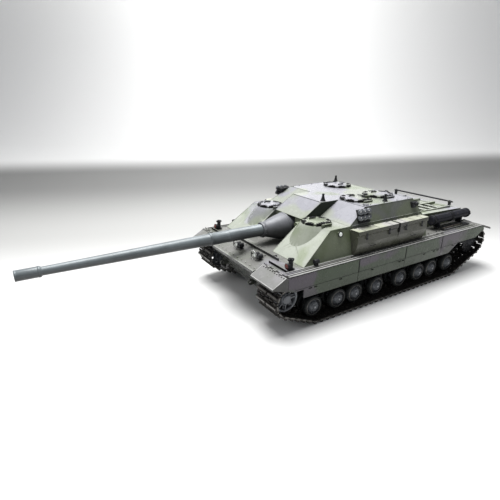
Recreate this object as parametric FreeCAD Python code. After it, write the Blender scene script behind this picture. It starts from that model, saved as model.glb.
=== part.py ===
import FreeCAD, Part
import math
import os

from FreeCAD import Vector

# Radio-controlled 1/16 model of a casemate tank destroyer, in millimetres.
# +Z up, the gun points along -Y, +X is the vehicle's left.
# Origin: bottom centre of the bounding box, on the ground under the tracks.

# ---- driving dimensions ----
FRONT_Y = -385.5            # muzzle face
REAR_Y = 385.5              # rear flap edge
HALF_WIDTH = 124.5          # outer face of the skirts
DECK_Z = 88.0               # top of the fenders, seat of the casemate
ROOF_Z = 151.5
SHELF_Z = 129.0             # flat step that carries the front hatches
PLATE = 3.0                 # armour-shell wall
SHEET = 1.6                 # fender and skirt sheet

HULL_HALF = 66.0            # tub between the tracks
HULL_FLOOR = 22.0
HULL_REAR = 362.0
NOSE_Y = -106.7
HINGE_Y = -89.0             # fender front edge, mudguard hinge
FENDER_END = 355.0

TRACK_IN = 73.8             # inner and outer edge of the track
TRACK_OUT = 121.8
TRACK_MID = (TRACK_IN + TRACK_OUT) / 2
LINKS = 88
TRACK_PLATE = 3.4           # link plate
GROUSER = 2.6               # bar standing out of the plate
HORN = 5.0                  # guide horn standing inwards

WHEEL_R = 15.5
WHEEL_Z = 22.4
WHEEL_GAP = 0.9             # tyre to link, so the rockers can tilt
BOGIE_HALF = 23.75
BOGIE_Y = (-7.8, 75.2, 180.1, 263.0)
IDLER = (-81.7, 48.0)
IDLER_R = 19.5
SPROCKET = (349.3, 55.0)
SPROCKET_R = 22.0
RUN_GAP = 0.5               # idler and sprocket drum to link
TEETH = 13
AXLE_R = 3.0
STUB_R = 4.0
FIT = 0.05                  # radial clearance of a shaft in its bore

GUN_Z = 111.5
TRUNNION_Y = 30.0
CENTRE_HALF = 36.0          # half width of the raised centre block

HATCH_X = 61.0
HATCH_Y = 6.3
HATCH_SEAT = 130.4
FRONT_HATCH_R = 20.5
ROOF_HATCH_R = 23.5
ROOF_HATCHES = (("roof_hatch_right", -51.0, 152.0, -1),
                ("roof_hatch_front", 48.0, 98.5, 1),
                ("roof_hatch_rear", 46.0, 152.0, 1))
LID_RISE = 2.3              # hinge axis above a hatch's seat
PIN_R = 0.6                 # lid hinge pins
KNUCKLE_R = 1.2

SKIRT_JOINTS = (37.9, 141.5, 235.1)
LAMPS = ((-15.5, 7.5), (-7.5, 0.0), (38.5, 8.6), (47.0, 0.0))    # x and guard radius


# ---- helpers ----
def box(x0, x1, y0, y1, z0, z1):
    return Part.makeBox(x1 - x0, y1 - y0, z1 - z0, Vector(x0, y0, z0))


def rod(start, axis, radius, length):
    return Part.makeCylinder(radius, length, Vector(*start), Vector(*axis))


def rod_x(y, z, radius, x0, x1):
    return rod((x0, y, z), (1, 0, 0), radius, x1 - x0)


def rod_y(x, z, radius, y0, y1):
    return rod((x, y0, z), (0, 1, 0), radius, y1 - y0)


def rod_z(x, y, radius, z0, z1):
    return rod((x, y, z0), (0, 0, 1), radius, z1 - z0)


def prism_x(points, x0, x1):
    """Extrude a Y-Z outline from x0 to x1."""
    corners = [Vector(x0, y, z) for y, z in points]
    face = Part.Face(Part.makePolygon(corners + corners[:1]))
    return face.extrude(Vector(x1 - x0, 0, 0))


def prism_y(points, y0, y1):
    """Extrude an X-Z outline from y0 to y1."""
    corners = [Vector(x, y0, z) for x, z in points]
    face = Part.Face(Part.makePolygon(corners + corners[:1]))
    return face.extrude(Vector(0, y1 - y0, 0))


def turn_y(points, y_shift=0.0):
    """Turn an outline of (y, radius) pairs about the gun axis."""
    corners = [Vector(r, y + y_shift, GUN_Z) for y, r in points]
    face = Part.Face(Part.makePolygon(corners + corners[:1]))
    return face.revolve(Vector(0, 0, GUN_Z), Vector(0, 1, 0), 360)


def fuse(*shapes):
    """Join shapes into one clean solid or group of solids."""
    items = [s for s in shapes if s is not None]
    if len(items) == 1:
        return items[0]
    return items[0].multiFuse(items[1:]).removeSplitter()


def mirrored(shape):
    return shape.mirror(Vector(0, 0, 0), Vector(1, 0, 0))


def both(shape):
    return Part.makeCompound([shape, mirrored(shape)])


def plates(shell, cutters):
    """Splits a shell into touching plates, one for each cutter in turn, and the rest."""
    walls = []
    left = shell.Solids
    for cutter in cutters:
        for solid in left:
            walls += solid.common(cutter).Solids
        left = [piece for solid in left for piece in solid.cut(cutter).Solids]
    return walls + left


def seated(details, base):
    """Fittings trimmed to sit on a base without running into it or into each other."""
    placed = []
    for detail in details:
        placed += detail.cut(base).Solids
        base = fuse(base, detail)
    return placed


def save(name, shape):
    solids = shape.Solids
    result = solids[0] if len(solids) == 1 else Part.makeCompound(solids)
    result.exportStep("parts/%s.step" % name)


def hinge(axis_x, y, z, half, root_z):
    """Lid hinge along Y: fixed end knuckles with pin, and the lid's middle knuckle."""
    split = half * 0.5
    fixed = rod_y(axis_x, z, PIN_R, y - half, y + half)
    for y0, y1 in ((y - half, y - split), (y + split, y + half)):
        leg = box(axis_x - KNUCKLE_R, axis_x + KNUCKLE_R, y0, y1, min(root_z, z), max(root_z, z))
        fixed = fuse(fixed, rod_y(axis_x, z, KNUCKLE_R, y0, y1), leg)
    moving = rod_y(axis_x, z, KNUCKLE_R, y - split + 0.35, y + split - 0.35)
    bore = rod_y(axis_x, z, PIN_R + FIT, y - half, y + half)
    return fixed, moving, bore


# ---- track path ----
def belt_circles(extra):
    """Idler, last wheel, sprocket and first wheel circles, anticlockwise seen from +X."""
    wheel = WHEEL_R + WHEEL_GAP + extra
    first = BOGIE_Y[0] - BOGIE_HALF
    last = BOGIE_Y[-1] + BOGIE_HALF
    return ((IDLER, IDLER_R + RUN_GAP + extra), ((first, WHEEL_Z), wheel),
            ((last, WHEEL_Z), wheel), (SPROCKET, SPROCKET_R + RUN_GAP + extra))


def tangent(first, second):
    """Outer tangent of two circles, kept on the right of the direction of travel."""
    (y1, z1), r1 = first
    (y2, z2), r2 = second
    span = math.hypot(y2 - y1, z2 - z1)
    heading = math.atan2(z2 - z1, y2 - y1)
    normal = heading - math.pi / 2 + math.asin((r2 - r1) / span) * -1
    ny = math.cos(normal)
    nz = math.sin(normal)
    return (y1 + r1 * ny, z1 + r1 * nz), (y2 + r2 * ny, z2 + r2 * nz), normal


def belt_wire(extra, x):
    """Closed belt line around the four circles at a given x."""
    circles = belt_circles(extra)
    count = len(circles)
    lines = [tangent(circles[i], circles[(i + 1) % count]) for i in range(count)]
    edges = []
    for i in range(count):
        start, end, normal = lines[i]
        edges.append(Part.makeLine(Vector(x, *start), Vector(x, *end)))
        (cy, cz), radius = circles[(i + 1) % count]
        leave, _, normal_out = lines[(i + 1) % count]
        sweep = (normal_out - normal) % (2 * math.pi)
        middle = normal + sweep / 2
        via = Vector(x, cy + radius * math.cos(middle), cz + radius * math.sin(middle))
        edges.append(Part.Arc(Vector(x, *end), via, Vector(x, *leave)).toShape())
    return Part.Wire(Part.__sortEdges__(edges))


def belt_prism(extra, x0, x1):
    return Part.Face(belt_wire(extra, x0)).extrude(Vector(x1 - x0, 0, 0))


def toothed_outline(base, low, high, duty, x):
    """Belt outline that steps between two offsets once per link."""
    line = belt_wire(base, x)
    step = line.Length / LINKS
    stations = [(i + part) * step for i in range(LINKS) for part in (0, duty)]
    samples = line.discretize(Number=LINKS * 50 + 1)
    per_unit = (len(samples) - 1) / line.Length
    points = []
    for index, along in enumerate(stations):
        k = int(round(along * per_unit)) % (len(samples) - 1)
        here = samples[k]
        ahead = samples[(k + 1) % (len(samples) - 1)]
        direction = (ahead - here).normalize()
        outward = Vector(0, direction.z, -direction.y)
        pair = (low, high) if index % 2 == 0 else (high, low)
        points += [here + outward * offset for offset in pair]
    return points


def track():
    """One closed track: link plates with grousers and a row of guide horns."""
    plate = TRACK_PLATE
    rim = toothed_outline(0.0, plate, plate + GROUSER, 0.45, TRACK_IN)
    body = Part.Face(Part.makePolygon(rim + rim[:1])).extrude(Vector(TRACK_OUT - TRACK_IN, 0, 0))
    body = body.cut(belt_prism(0.0, TRACK_IN - 1, TRACK_OUT + 1))
    for x0 in (TRACK_IN + 11.2, TRACK_OUT - 14.8):
        groove = rod_x(*SPROCKET, SPROCKET_R + RUN_GAP + 2.4, x0, x0 + 3.6)
        body = body.cut(groove)
    horns = toothed_outline(0.0, 0.4, -HORN, 0.5, TRACK_MID - 1.6)
    inner = Part.Face(Part.makePolygon(horns + horns[:1])).extrude(Vector(3.2, 0, 0))
    ring = belt_prism(0.3, TRACK_MID - 1.6, TRACK_MID + 1.6).cut(inner)
    return body.fuse(ring)


# ---- running gear ----
def twin_disc(y, z, radius, bore):
    """Pair of discs on a hub, with a groove for the guide horns between them."""
    wheel = fuse(rod_x(y, z, radius, 85.4, 93.4), rod_x(y, z, radius, 102.2, 110.2),
                 rod_x(y, z, radius * 0.45, 83.4, 111.4))
    return wheel.cut(rod_x(y, z, bore, 83.0, 110.0))


def road_wheel(y):
    wheel = twin_disc(y, WHEEL_Z, WHEEL_R, AXLE_R + FIT)
    dish = rod_x(y, WHEEL_Z, WHEEL_R - 3.6, 107.6, 111.0).cut(rod_x(y, WHEEL_Z, 8.6, 107.0, 112.0))
    cap = fuse(rod_x(y, WHEEL_Z, 6.4, 110.0, 112.6), rod_x(y, WHEEL_Z, 3.4, 112.0, 113.6))
    bolts = []
    for i in range(8):
        a = math.radians(45 * i)
        bolts.append(rod_x(y + 5.0 * math.cos(a), WHEEL_Z + 5.0 * math.sin(a), 0.7, 112.0, 113.2))
    return fuse(wheel.cut(dish), cap, *bolts)


def bogie(y):
    """Rocker beam with its two axles, turning on the hull's bracket pin."""
    beam = box(75.0, 81.0, y - BOGIE_HALF, y + BOGIE_HALF, WHEEL_Z - 4.0, WHEEL_Z + 4.5)
    rocker = fuse(beam, rod_x(y, WHEEL_Z + 4.0, 9.0, 73.0, 81.0))
    axles = []
    for side in (-1, 1):
        end = y + side * BOGIE_HALF
        rocker = fuse(rocker, rod_x(end, WHEEL_Z, 6.5, 75.0, 81.0),
                      rod_x(y + side * 9.0, WHEEL_Z + 11.0, 4.2, 75.5, 81.0))
        axles.append(fuse(rod_x(end, WHEEL_Z, 4.5, 81.0, 83.0),
                          rod_x(end, WHEEL_Z, AXLE_R, 83.0, 109.6)))
    rocker = rocker.cut(rod_x(y, WHEEL_Z + 4.0, STUB_R + FIT, 72.0, 82.0))
    return Part.makeCompound([rocker] + axles)


def idler():
    y, z = IDLER
    wheel = twin_disc(y, z, IDLER_R, STUB_R + FIT)
    for i in range(8):
        a = math.radians(45 * i + 22.5)
        hole = rod_x(y + 13.2 * math.cos(a), z + 13.2 * math.sin(a), 3.3, 80.0, 115.0)
        wheel = wheel.cut(hole)
    return fuse(wheel, rod_x(y, z, 6.6, 110.8, 113.0))


def toothed_ring(y, z, x0, x1):
    """Sprocket ring whose teeth reach into the grooves of the track."""
    points = []
    for i in range(TEETH):
        for part, radius in ((0.0, 19.6), (0.3, 19.6), (0.42, 24.2), (0.62, 24.2), (0.74, 19.6)):
            a = 2 * math.pi * (i + part) / TEETH
            points.append((y + radius * math.cos(a), z + radius * math.sin(a)))
    return prism_x(points, x0, x1)


def sprocket():
    y, z = SPROCKET
    rings = []
    for x0 in (TRACK_IN + 11.7, TRACK_OUT - 14.3):
        rings.append(toothed_ring(y, z, x0, x0 + 2.6))
    drum = fuse(rod_x(y, z, 15.0, 82.0, 92.5), rod_x(y, z, 15.0, 103.1, 110.0),
                rod_x(y, z, 9.0, 81.0, 112.5), rod_x(y, z, 5.0, 112.0, 114.0))
    bolts = []
    for i in range(10):
        a = math.radians(36 * i)
        bolts.append(rod_x(y + 12.2 * math.cos(a), z + 12.2 * math.sin(a), 0.9, 109.5, 111.2))
    shaft = rod_x(y, z, AXLE_R, 46.0, 81.5)
    return fuse(drum, shaft, *rings, *bolts)


def suspension_brackets():
    """Fixed carriers on the hull side: rocker pins, idler stubs and spring housings."""
    pieces = []
    for y in BOGIE_Y:
        pad = prism_x([(y - 16, 40), (y - 12, 24), (y + 12, 24), (y + 16, 40), (y + 16, 48),
                       (y - 16, 48)], HULL_HALF, 71.5)
        pin = fuse(rod_x(y, WHEEL_Z + 4.0, STUB_R, 70.0, 82.0), rod_x(y, WHEEL_Z + 4.0, 6.5, 81.4, 83.0))
        pieces.append(fuse(pad, pin))
    y, z = IDLER
    arm = fuse(rod_x(y, z, 9.0, HULL_HALF, 80.0), rod_x(y, z, STUB_R, 79.0, 109.6))
    pieces.append(arm)
    return Part.makeCompound(pieces + [mirrored(p) for p in pieces])


def return_rollers():
    """Rollers on stubs under the upper run of the track."""
    top = belt_circles(0.0)
    (iy, iz), ir = top[0]
    (sy, sz), sr = top[3]
    pieces = []
    for y in (10.0, 95.0, 180.0, 265.0):
        along = (y - iy) / (sy - iy)
        run_z = iz + ir + along * (sz + sr - iz - ir)
        z = run_z - 8.6
        roller = fuse(rod_x(y, z, 7.8, 86.4, 93.0), rod_x(y, z, 7.8, 102.6, 109.2),
                      rod_x(y, z, 2.2, 85.0, 110.4), rod_x(y, z, STUB_R - 1.0, HULL_HALF, 86.0))
        pieces.append(roller)
    return Part.makeCompound(pieces + [mirrored(p) for p in pieces])


# ---- lower hull ----
def lower_hull():
    """Open-topped tub with the glacis, the gun bridge and the floor openings."""
    outline = [(-66, HULL_FLOOR), (-104.5, 72), (NOSE_Y, 78.5), (-68, DECK_Z), (HULL_REAR, DECK_Z),
               (HULL_REAR, 58), (338, HULL_FLOOR)]
    inside = [(-63, HULL_FLOOR + PLATE), (-98, 71), (-99, 76.5), (-66, 84.6),
              (HULL_REAR - PLATE, 84.6), (HULL_REAR - PLATE, 59), (336, HULL_FLOOR + PLATE)]
    tub = prism_x(outline, -HULL_HALF, HULL_HALF)
    tub = tub.cut(prism_x(inside, PLATE - HULL_HALF, HULL_HALF - PLATE))
    tub = tub.cut(box(-60, 60, 4.4, 204, 80, 90)).cut(box(-60, 60, 214, 352, 80, 90))
    bridge = box(-64, 64, 12, 48, 79, 84)
    tub = fuse(tub, bridge).cut(rod_z(0, TRUNNION_Y, 5.0 + FIT, 70, 90))
    tub = tub.cut(box(-30, 30, 66, 174, 20, 26)).cut(box(-34.2, -29, 109.9, 130.1, 20, 26))
    posts = [rod_z(x, y, 3.0, HULL_FLOOR + 1, 30) for x in (-24, 24) for y in (-38, 38)]
    rail = fuse(box(-72, 72, -69.2, -67.6, DECK_Z, 92), box(-62, -60.4, -69.2, -64, DECK_Z, 93),
                box(60.4, 62, -69.2, -64, DECK_Z, 93))
    hooks = [rail] + posts
    for x in (-44, 44):
        eye = fuse(box(x - 1.6, x + 1.6, -98.0, -88, 47, 55), rod_x(-98, 51, 4.0, x - 1.6, x + 1.6))
        hooks.append(eye.cut(rod_x(-98.6, 51, 2.0, x - 3, x + 3)))
    for x in (-42, 42):
        eye = fuse(box(x - 2, x + 2, 360, 366, 62, 72), rod_x(366, 67, 5.0, x - 2, x + 2))
        hooks.append(eye.cut(rod_x(367, 67, 2.4, x - 3, x + 3)))
    y, z = SPROCKET
    shaft_way = rod_x(y, z, AXLE_R + 0.4, -79, 79)
    drive = rod_x(y, z, 15.0, HULL_HALF, 78).cut(shaft_way)
    front, _, _ = door_hinge()
    fittings = seated(hooks + [front, drive, mirrored(drive)], tub)
    return Part.makeCompound(plates(tub.cut(shaft_way), hull_walls()) + fittings)


def hull_walls():
    """Regions that divide the tub into its flat plates."""
    side = HULL_HALF - PLATE
    floor = HULL_FLOOR + PLATE
    return [box(side, 80, -120, 370, 0, 100), box(-80, -side, -120, 370, 0, 100),
            box(-64, 64, 12, 48, 79, 84.6),
            box(-side, -34.2, -70, 345, 0, floor), box(30, side, -70, 345, 0, floor),
            box(-34.2, 30, -70, 66, 0, floor), box(-34.2, 30, 174, 345, 0, floor),
            box(-34.2, -30, 66, 174, 0, floor),
            prism_x([(-130, 0), (-60, 0), (-63, floor), (-98, 71), (-130, 71)], -side, side),
            prism_x([(-130, 71), (-98, 71), (-99, 76.5), (-66, 84.6), (-66, 90), (-130, 90)],
                    -side, side),
            box(-side, side, -66, 4.4, 84, 90), box(-side, side, 204, 214, 84, 90),
            box(-side, side, 352, 370, 84, 90), box(60, side, 4.4, 352, 84, 90),
            box(-side, -60, 4.4, 352, 84, 90), box(-side, side, 359, 370, 59, 84)]


def door_hinge():
    """Battery-door hinge under the hull floor, along Y at the door's right edge."""
    fixed, moving, bore = hinge(-32.0, 120.0, HULL_FLOOR - 0.2, 20.0, HULL_FLOOR + 1.5)
    return fixed, moving, bore


def battery_door():
    _, moving, bore = door_hinge()
    lid = box(-29.6, 29.6, 66.4, 173.6, HULL_FLOOR, HULL_FLOOR + 2.0)
    tongue = box(-32, -29, 110.5, 129.5, HULL_FLOOR - 1.2, HULL_FLOOR + 0.8)
    pull = box(22, 27, 112, 128, HULL_FLOOR - 1.2, HULL_FLOOR + 0.5)
    return fuse(lid, tongue, moving, pull).cut(bore)


# ---- upper hull ----
def side_section(shrink, base):
    """Front view of the casemate: leaning side walls with a slight break at the shelf."""
    top = ROOF_Z - shrink
    return [(-110 + shrink, base), (-100 + shrink, SHELF_Z), (-91 + shrink, top),
            (91 - shrink, top), (100 - shrink, SHELF_Z), (110 - shrink, base)]


def casemate():
    """Hollow fighting compartment with cheeks, centre block and open hatch holes."""
    sides = [(-53.7, DECK_Z), (-0.7, SHELF_Z), (36.3, SHELF_Z), (73.3, ROOF_Z),
             (183.3, ROOF_Z), (208.7, 112.0), (208.7, DECK_Z)]
    centre = [(1.3, DECK_Z), (1.3, SHELF_Z), (36.3, ROOF_Z), (100, ROOF_Z), (100, DECK_Z)]
    outer = prism_x(sides, -110, 110).cut(box(-CENTRE_HALF, CENTRE_HALF, -60, 1.3, 80, 160))
    outer = fuse(outer, prism_x(centre, -CENTRE_HALF, CENTRE_HALF))
    cone = Part.makeCone(23.3 + 0.667 * (HATCH_SEAT - DECK_Z), 23.3, HATCH_SEAT - DECK_Z,
                         Vector(HATCH_X, HATCH_Y, DECK_Z))
    cone = cone.common(box(CENTRE_HALF, 112, -60, 60, DECK_Z, 135))
    bulges = fuse(cone.cut(box(CENTRE_HALF, 112, 36, 80, 80, 135)))
    outer = fuse(outer, bulges, mirrored(bulges))
    outer = outer.common(prism_y(side_section(0.0, DECK_Z), -60, 215))
    inner_sides = [(-47.5, 80), (-47.5, 90.0), (0.4, SHELF_Z - PLATE), (37.4, SHELF_Z - PLATE),
                   (74.4, ROOF_Z - PLATE), (181.6, ROOF_Z - PLATE), (205.7, 111.2), (205.7, 80)]
    inner_centre = [(4.3, 80), (4.3, 127.0), (37.6, ROOF_Z - PLATE), (100, ROOF_Z - PLATE), (100, 80)]
    void = prism_x(inner_sides, -108, 108).cut(box(-39, 39, -60, 4.3, 70, 160))
    void = fuse(void, prism_x(inner_centre, -33, 33))
    void = void.common(prism_y(side_section(PLATE, 80), -60, 215))
    shell = outer.cut(void)
    shell = shell.cut(box(-16.8, 16.8, -2, 6, 95, 128))
    details = []
    for x in (-HATCH_X, HATCH_X):
        shell = shell.cut(rod_z(x, HATCH_Y, FRONT_HATCH_R - 2, 100, 140))
        details += hatch_seat(x, HATCH_Y, HATCH_SEAT, FRONT_HATCH_R, 1)
    for _, x, y, side in ROOF_HATCHES:
        shell = shell.cut(rod_z(x, y, ROOF_HATCH_R - 2, 140, 160))
        details += hatch_seat(x, y, ROOF_Z, ROOF_HATCH_R, side)
    sight = rod_y(27.5, 120.0, 3.6, -6.0, 2.0)
    port = rod_x(15.0, 122.0, 3.4, 99.0, 104.2)
    details += [sight, port, mirrored(port), rod_z(83, 84, 4.6, ROOF_Z - 1, ROOF_Z + 1.4)]
    filled = fuse(shell, void.common(box(-120, 120, -60, 210, DECK_Z, 160)))
    return Part.makeCompound(plates(shell, casemate_walls()) + seated(details, filled))


def casemate_walls():
    """Regions that divide the fighting compartment into its armour plates."""
    under = ROOF_Z - PLATE
    step = SHELF_Z - PLATE
    lower = prism_y([(107, 80), (97, SHELF_Z), (125, SHELF_Z), (125, 80)], -60, 215)
    upper = prism_y([(97, SHELF_Z), (88, under), (88, 160), (125, 160), (125, SHELF_Z)], -60, 215)
    trough = box(CENTRE_HALF, CENTRE_HALF + PLATE, -60, 4.3, 80, 135)
    cheek = prism_x([(-60, 80), (-47.5, 80), (-47.5, 90), (0.4, step), (0.4, 140), (-60, 140)], 39, 110)
    shelf = box(CENTRE_HALF, 110, 0.4, 37.4, step, 135)
    brow = prism_x([(36.3, step), (37.4, step), (74.4, under), (74.4, 155), (36.3, 155)], 36, 100)
    block_side = box(CENTRE_HALF - PLATE, CENTRE_HALF, 1.3, 74.4, step, 155)
    front = box(16.8, CENTRE_HALF, 1.3, 4.3, 80, step)
    paired = [lower, upper, trough, cheek, shelf, brow, block_side, front]
    beside_right = (70, 152, 190)
    beside_left = (70, 98.5, 125, 152, 190)
    roof = [box(x0, x1, y0, y1, under, 155)
            for x0, x1, steps in ((-100, -51, beside_right), (-51, 0, beside_right),
                                  (0, 47, beside_left), (47, 100, beside_left))
            for y0, y1 in zip(steps, steps[1:])]
    rear = prism_x([(181.6, 155), (181.6, under), (205.7, 111.2), (215, 111.2), (215, 155)], -102, 102)
    return [s for p in paired for s in (p, mirrored(p))] + [
        rear, box(-110, 110, 205.7, 215, 80, 111.2),
        box(-16.8, 16.8, 1.3, 4.3, 80, 95), box(-33, 33, 1.3, 4.3, step, 135),
        prism_x([(1.3, step), (4.3, 127), (37.6, under), (37.6, 155), (1.3, 155)], -33, 33),
        box(-33, 33, 37.6, 74.4, under, 155)] + roof


def hatch_seat(x, y, z, radius, side):
    """Ring around a hatch hole, in four arcs, and the fixed half of its hinge."""
    ring = rod_z(x, y, radius + 0.9, z - 0.5, z + 0.9).cut(rod_z(x, y, radius - 2, z - 1, z + 2))
    fixed, _, _ = hinge(x + side * (radius + 2.6), y, z + LID_RISE, 9.0, z - 1.0)
    reach = radius + 2
    quarters = [box(x, x + reach, y, y + reach, z - 1, z + 2), box(x - reach, x, y, y + reach, z - 1, z + 2),
                box(x - reach, x, y - reach, y, z - 1, z + 2)]
    return plates(ring, quarters) + [fixed]


def hatch_lid(x, y, z, radius, side):
    """Round lid with rim slots, a grab handle and the moving hinge knuckle."""
    axis_x = x + side * (radius + 2.6)
    _, moving, bore = hinge(axis_x, y, z + LID_RISE, 9.0, z)
    lid = rod_z(x, y, radius, z + 1.25, z + 2.9)
    inner = min(x + side * (radius - 3), axis_x)
    arm = box(inner, inner + 5.6, y - 4.0, y + 4.0, z + 1.4, z + 2.9)
    slots = []
    for i in range(8):
        a = math.radians(45 * i + 22.5)
        notch = box(-1.2, 1.2, -5.0, 5.0, z + 2.3, z + 5.0)
        notch.rotate(Vector(0, 0, 0), Vector(0, 0, 1), math.degrees(a))
        notch.translate(Vector(x + (radius - 2.4) * math.cos(a), y + (radius - 2.4) * math.sin(a), 0))
        slots.append(notch)
    handle = box(x - side * 9 - 1, x - side * 9 + 1, y - 6, y + 6, z + 2.7, z + 4.6)
    handle = handle.cut(box(x - side * 9 - 2, x - side * 9 + 2, y - 4, y + 4, z + 2.9, z + 3.8))
    lid = lid.cut(Part.makeCompound(slots))
    return fuse(lid, arm, moving, handle).cut(bore)


def roof_lid(name, x, y, side):
    lid = hatch_lid(x, y, ROOF_Z, ROOF_HATCH_R, side)
    if name == "roof_hatch_front":
        scope = fuse(box(x + 4, x + 14, y + 8, y + 15, ROOF_Z + 2.7, ROOF_Z + 7.5),
                     rod_z(x + 9, y + 11.5, 3.0, ROOF_Z + 7, ROOF_Z + 9.5))
        lid = fuse(lid, scope)
    return lid


def engine_deck():
    """Hollow rear deck with louvre openings and a folding cross bar."""
    outline = [(209.0, DECK_Z), (209.0, 115.0), (350.0, 111.0), (356.0, DECK_Z)]
    inside = [(212.0, 80), (212.0, 111.8), (347.6, 108.0), (353.0, 80)]
    deck = prism_x(outline, -80, 80).cut(prism_x(inside, -77, 77))
    for x0, x1 in ((-66, -36), (-31, -3), (3, 31), (36, 66)):
        for row in range(5):
            y = 226 + row * 21
            deck = deck.cut(box(x0, x1, y, y + 10, 90, 130))
    walls = [box(77, 81, 200, 360, 80, 120), box(-81, -77, 200, 360, 80, 120),
             box(-77, 77, 209, 212, 80, 120),
             prism_x([(347.6, 120), (347.6, 108), (353, 80), (360, 80), (360, 120)], -77, 77)]
    bars = []
    for x in (-33.5, 0.0, 33.5):
        bars.append(box(x - 1.6, x + 1.6, 222, 336, 111.6, 116.0))
    posts = [box(x - 2, x + 2, 338, 342, 110, 122) for x in (-62, 62)]
    bar = rod_x(340, 121, 1.4, -66, 68)
    return Part.makeCompound(plates(deck, walls) + seated([fuse(bar, *posts)] + bars, deck))


# ---- fenders, skirts, mudguards ----
def guard_hinge(x0, x1):
    """Mudguard hinge along X: pin with fixed knuckles, moving knuckles, bore."""
    y = HINGE_Y - 1.8
    z = DECK_Z + 0.6
    fixed = rod_x(y, z, PIN_R, x0, x1)
    moving = []
    span = (x1 - x0) / 7
    for i in range(7):
        a = x0 + i * span
        if i % 2 == 0:
            leg = box(a, a + span - 0.4, y, HINGE_Y + 1, z - 1.4, z + 0.2)
            fixed = fuse(fixed, rod_x(y, z, KNUCKLE_R, a, a + span - 0.4), leg)
        else:
            moving.append(rod_x(y, z, KNUCKLE_R, a, a + span - 0.4))
            moving.append(box(a, a + span - 0.4, y - 3.2, y, z - 1.0, z + 0.4))
    return fixed, moving, rod_x(y, z, PIN_R + FIT, x0 - 1, x1 + 1)


def fender():
    """Left track guard: flat sheet with edge ribs and the sloped rear end."""
    sheet = box(HULL_HALF, HALF_WIDTH, HINGE_Y, FENDER_END, DECK_Z - 2.0, DECK_Z)
    tail = prism_x([(FENDER_END, DECK_Z), (REAR_Y - 1.5, 78.5), (REAR_Y, 76.0), (REAR_Y - 1.6, 75.6),
                    (REAR_Y - 3.0, 77.6), (FENDER_END, DECK_Z - 2.0)], 70.0, HALF_WIDTH)
    ribs = [box(x, x + 0.9, HINGE_Y, 340, DECK_Z - 0.5, DECK_Z + 0.8) for x in (112.4, 116.4, 120.4)]
    fixed, _, _ = guard_hinge(72.0, 122.0)
    shelf = box(90, 112.0, 258, 330, DECK_Z, DECK_Z + 2.2)
    step = box(70.0, 111.5, -83.5, -82.0, DECK_Z, DECK_Z + 3.4)
    return Part.makeCompound([fuse(sheet, fixed, *ribs), tail, shelf, step])


def mudguard():
    """Front end of the left track guard, hinged to fold up."""
    _, moving, bore = guard_hinge(72.0, 122.0)
    y = HINGE_Y - 3.8
    top = prism_x([(y, DECK_Z), (-113.7, 76.2), (-113.7, 74.4), (y, DECK_Z - 2.0)], 70.5, HALF_WIDTH)
    rear = HINGE_Y - 0.4
    flange = prism_x([(rear, 85.4), (y, DECK_Z - 1.0), (-113.7, 75.4), (-113.7, 74.4), (rear, 67.0)],
                     HALF_WIDTH - SHEET, HALF_WIDTH)
    lip = box(70.5, HALF_WIDTH, -113.7, -112.5, 73.2, 75.5)
    bolts = [rod_z(75 + 5.2 * i, y - 2.4, 0.9, DECK_Z - 2.4, DECK_Z - 0.2) for i in range(10)]
    return fuse(top, flange, lip, *moving, *bolts).cut(bore)


def skirt():
    """Left side skirt of four panels with a bent lower strip."""
    panel = prism_x([(HINGE_Y, DECK_Z - 2.0), (HINGE_Y, 67), (-79, 64), (-63, 64), (-63, 66),
                     (339, 66), (362, 80), (358, 84), (FENDER_END, DECK_Z - 2.0)],
                    HALF_WIDTH - SHEET, HALF_WIDTH)
    strip = prism_y([(HALF_WIDTH, 66), (HALF_WIDTH - 0.5, 50.9), (HALF_WIDTH - 0.5 - SHEET, 50.9),
                     (HALF_WIDTH - SHEET, 66)], -63, 284)
    end = prism_x([(284, 66.1), (259.5, 50), (300, 50), (300, 66.1)], 118, 128)
    skirt_sheet = fuse(panel, strip.cut(end))
    for y in SKIRT_JOINTS:
        skirt_sheet = skirt_sheet.cut(box(118, 128, y - 0.4, y + 0.4, 40, 90))
    for y in (-52, -43, 3, 67, 129, 137, 190, 216, 226, 269):
        skirt_sheet = skirt_sheet.cut(box(118, 128, y - 3.0, y + 3.0, 62.6, 64.4))
    return skirt_sheet


# ---- fittings ----
def stowage_bin():
    """Long left bin with lid seam, split and latches, tucked in at the bottom."""
    body = prism_y([(110.4, 89), (114.5, 89), (119.6, 107), (118.8, 125), (101.6, 125)], 35.5, 191.5)
    body = body.cut(box(100, 125, 121.4, 122.6, 104, 130))
    body = body.cut(prism_y([(117, 118.4), (125, 118.4), (125, 119.2), (117, 119.2)], 30, 200))
    latches = [box(118, 120.4, y - 2.5, y + 2.5, 113, 121) for y in (52, 100, 138, 176)]
    feet = [box(110.4, 112.3, y - 4, y + 4, DECK_Z, 90) for y in (46, 113, 180)]
    return fuse(body.cut(wall_clearance()), *latches, *feet)


def wall_clearance():
    """Everything inboard of the casemate's side wall."""
    return prism_y([(80, 80), (112.15, 80), (110.2, DECK_Z), (100.2, SHELF_Z), (80, SHELF_Z)], 30, 215)


def exhaust():
    """Left silencer with end caps, straps and outlet, on two feet."""
    drum = fuse(rod_y(92.5, 105.0, 7.0, 241, 350), rod_y(92.5, 105.0, 7.8, 243, 247),
                rod_y(92.5, 105.0, 7.8, 294, 298), rod_y(92.5, 105.0, 7.8, 344, 348),
                rod_y(92.5, 105.0, 3.6, 350, 357))
    feet = [box(87.5, 97.5, y - 2, y + 2, DECK_Z, 101) for y in (262, 328)]
    feet[0] = feet[0].cut(box(80, 112, 250, 272, 80, DECK_Z + 2.2))
    feet[1] = feet[1].cut(box(80, 112, 318, 330.4, 80, DECK_Z + 2.2))
    return fuse(drum, *feet).cut(rod_y(92.5, 105.0, 2.6, 352, 360))


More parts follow.
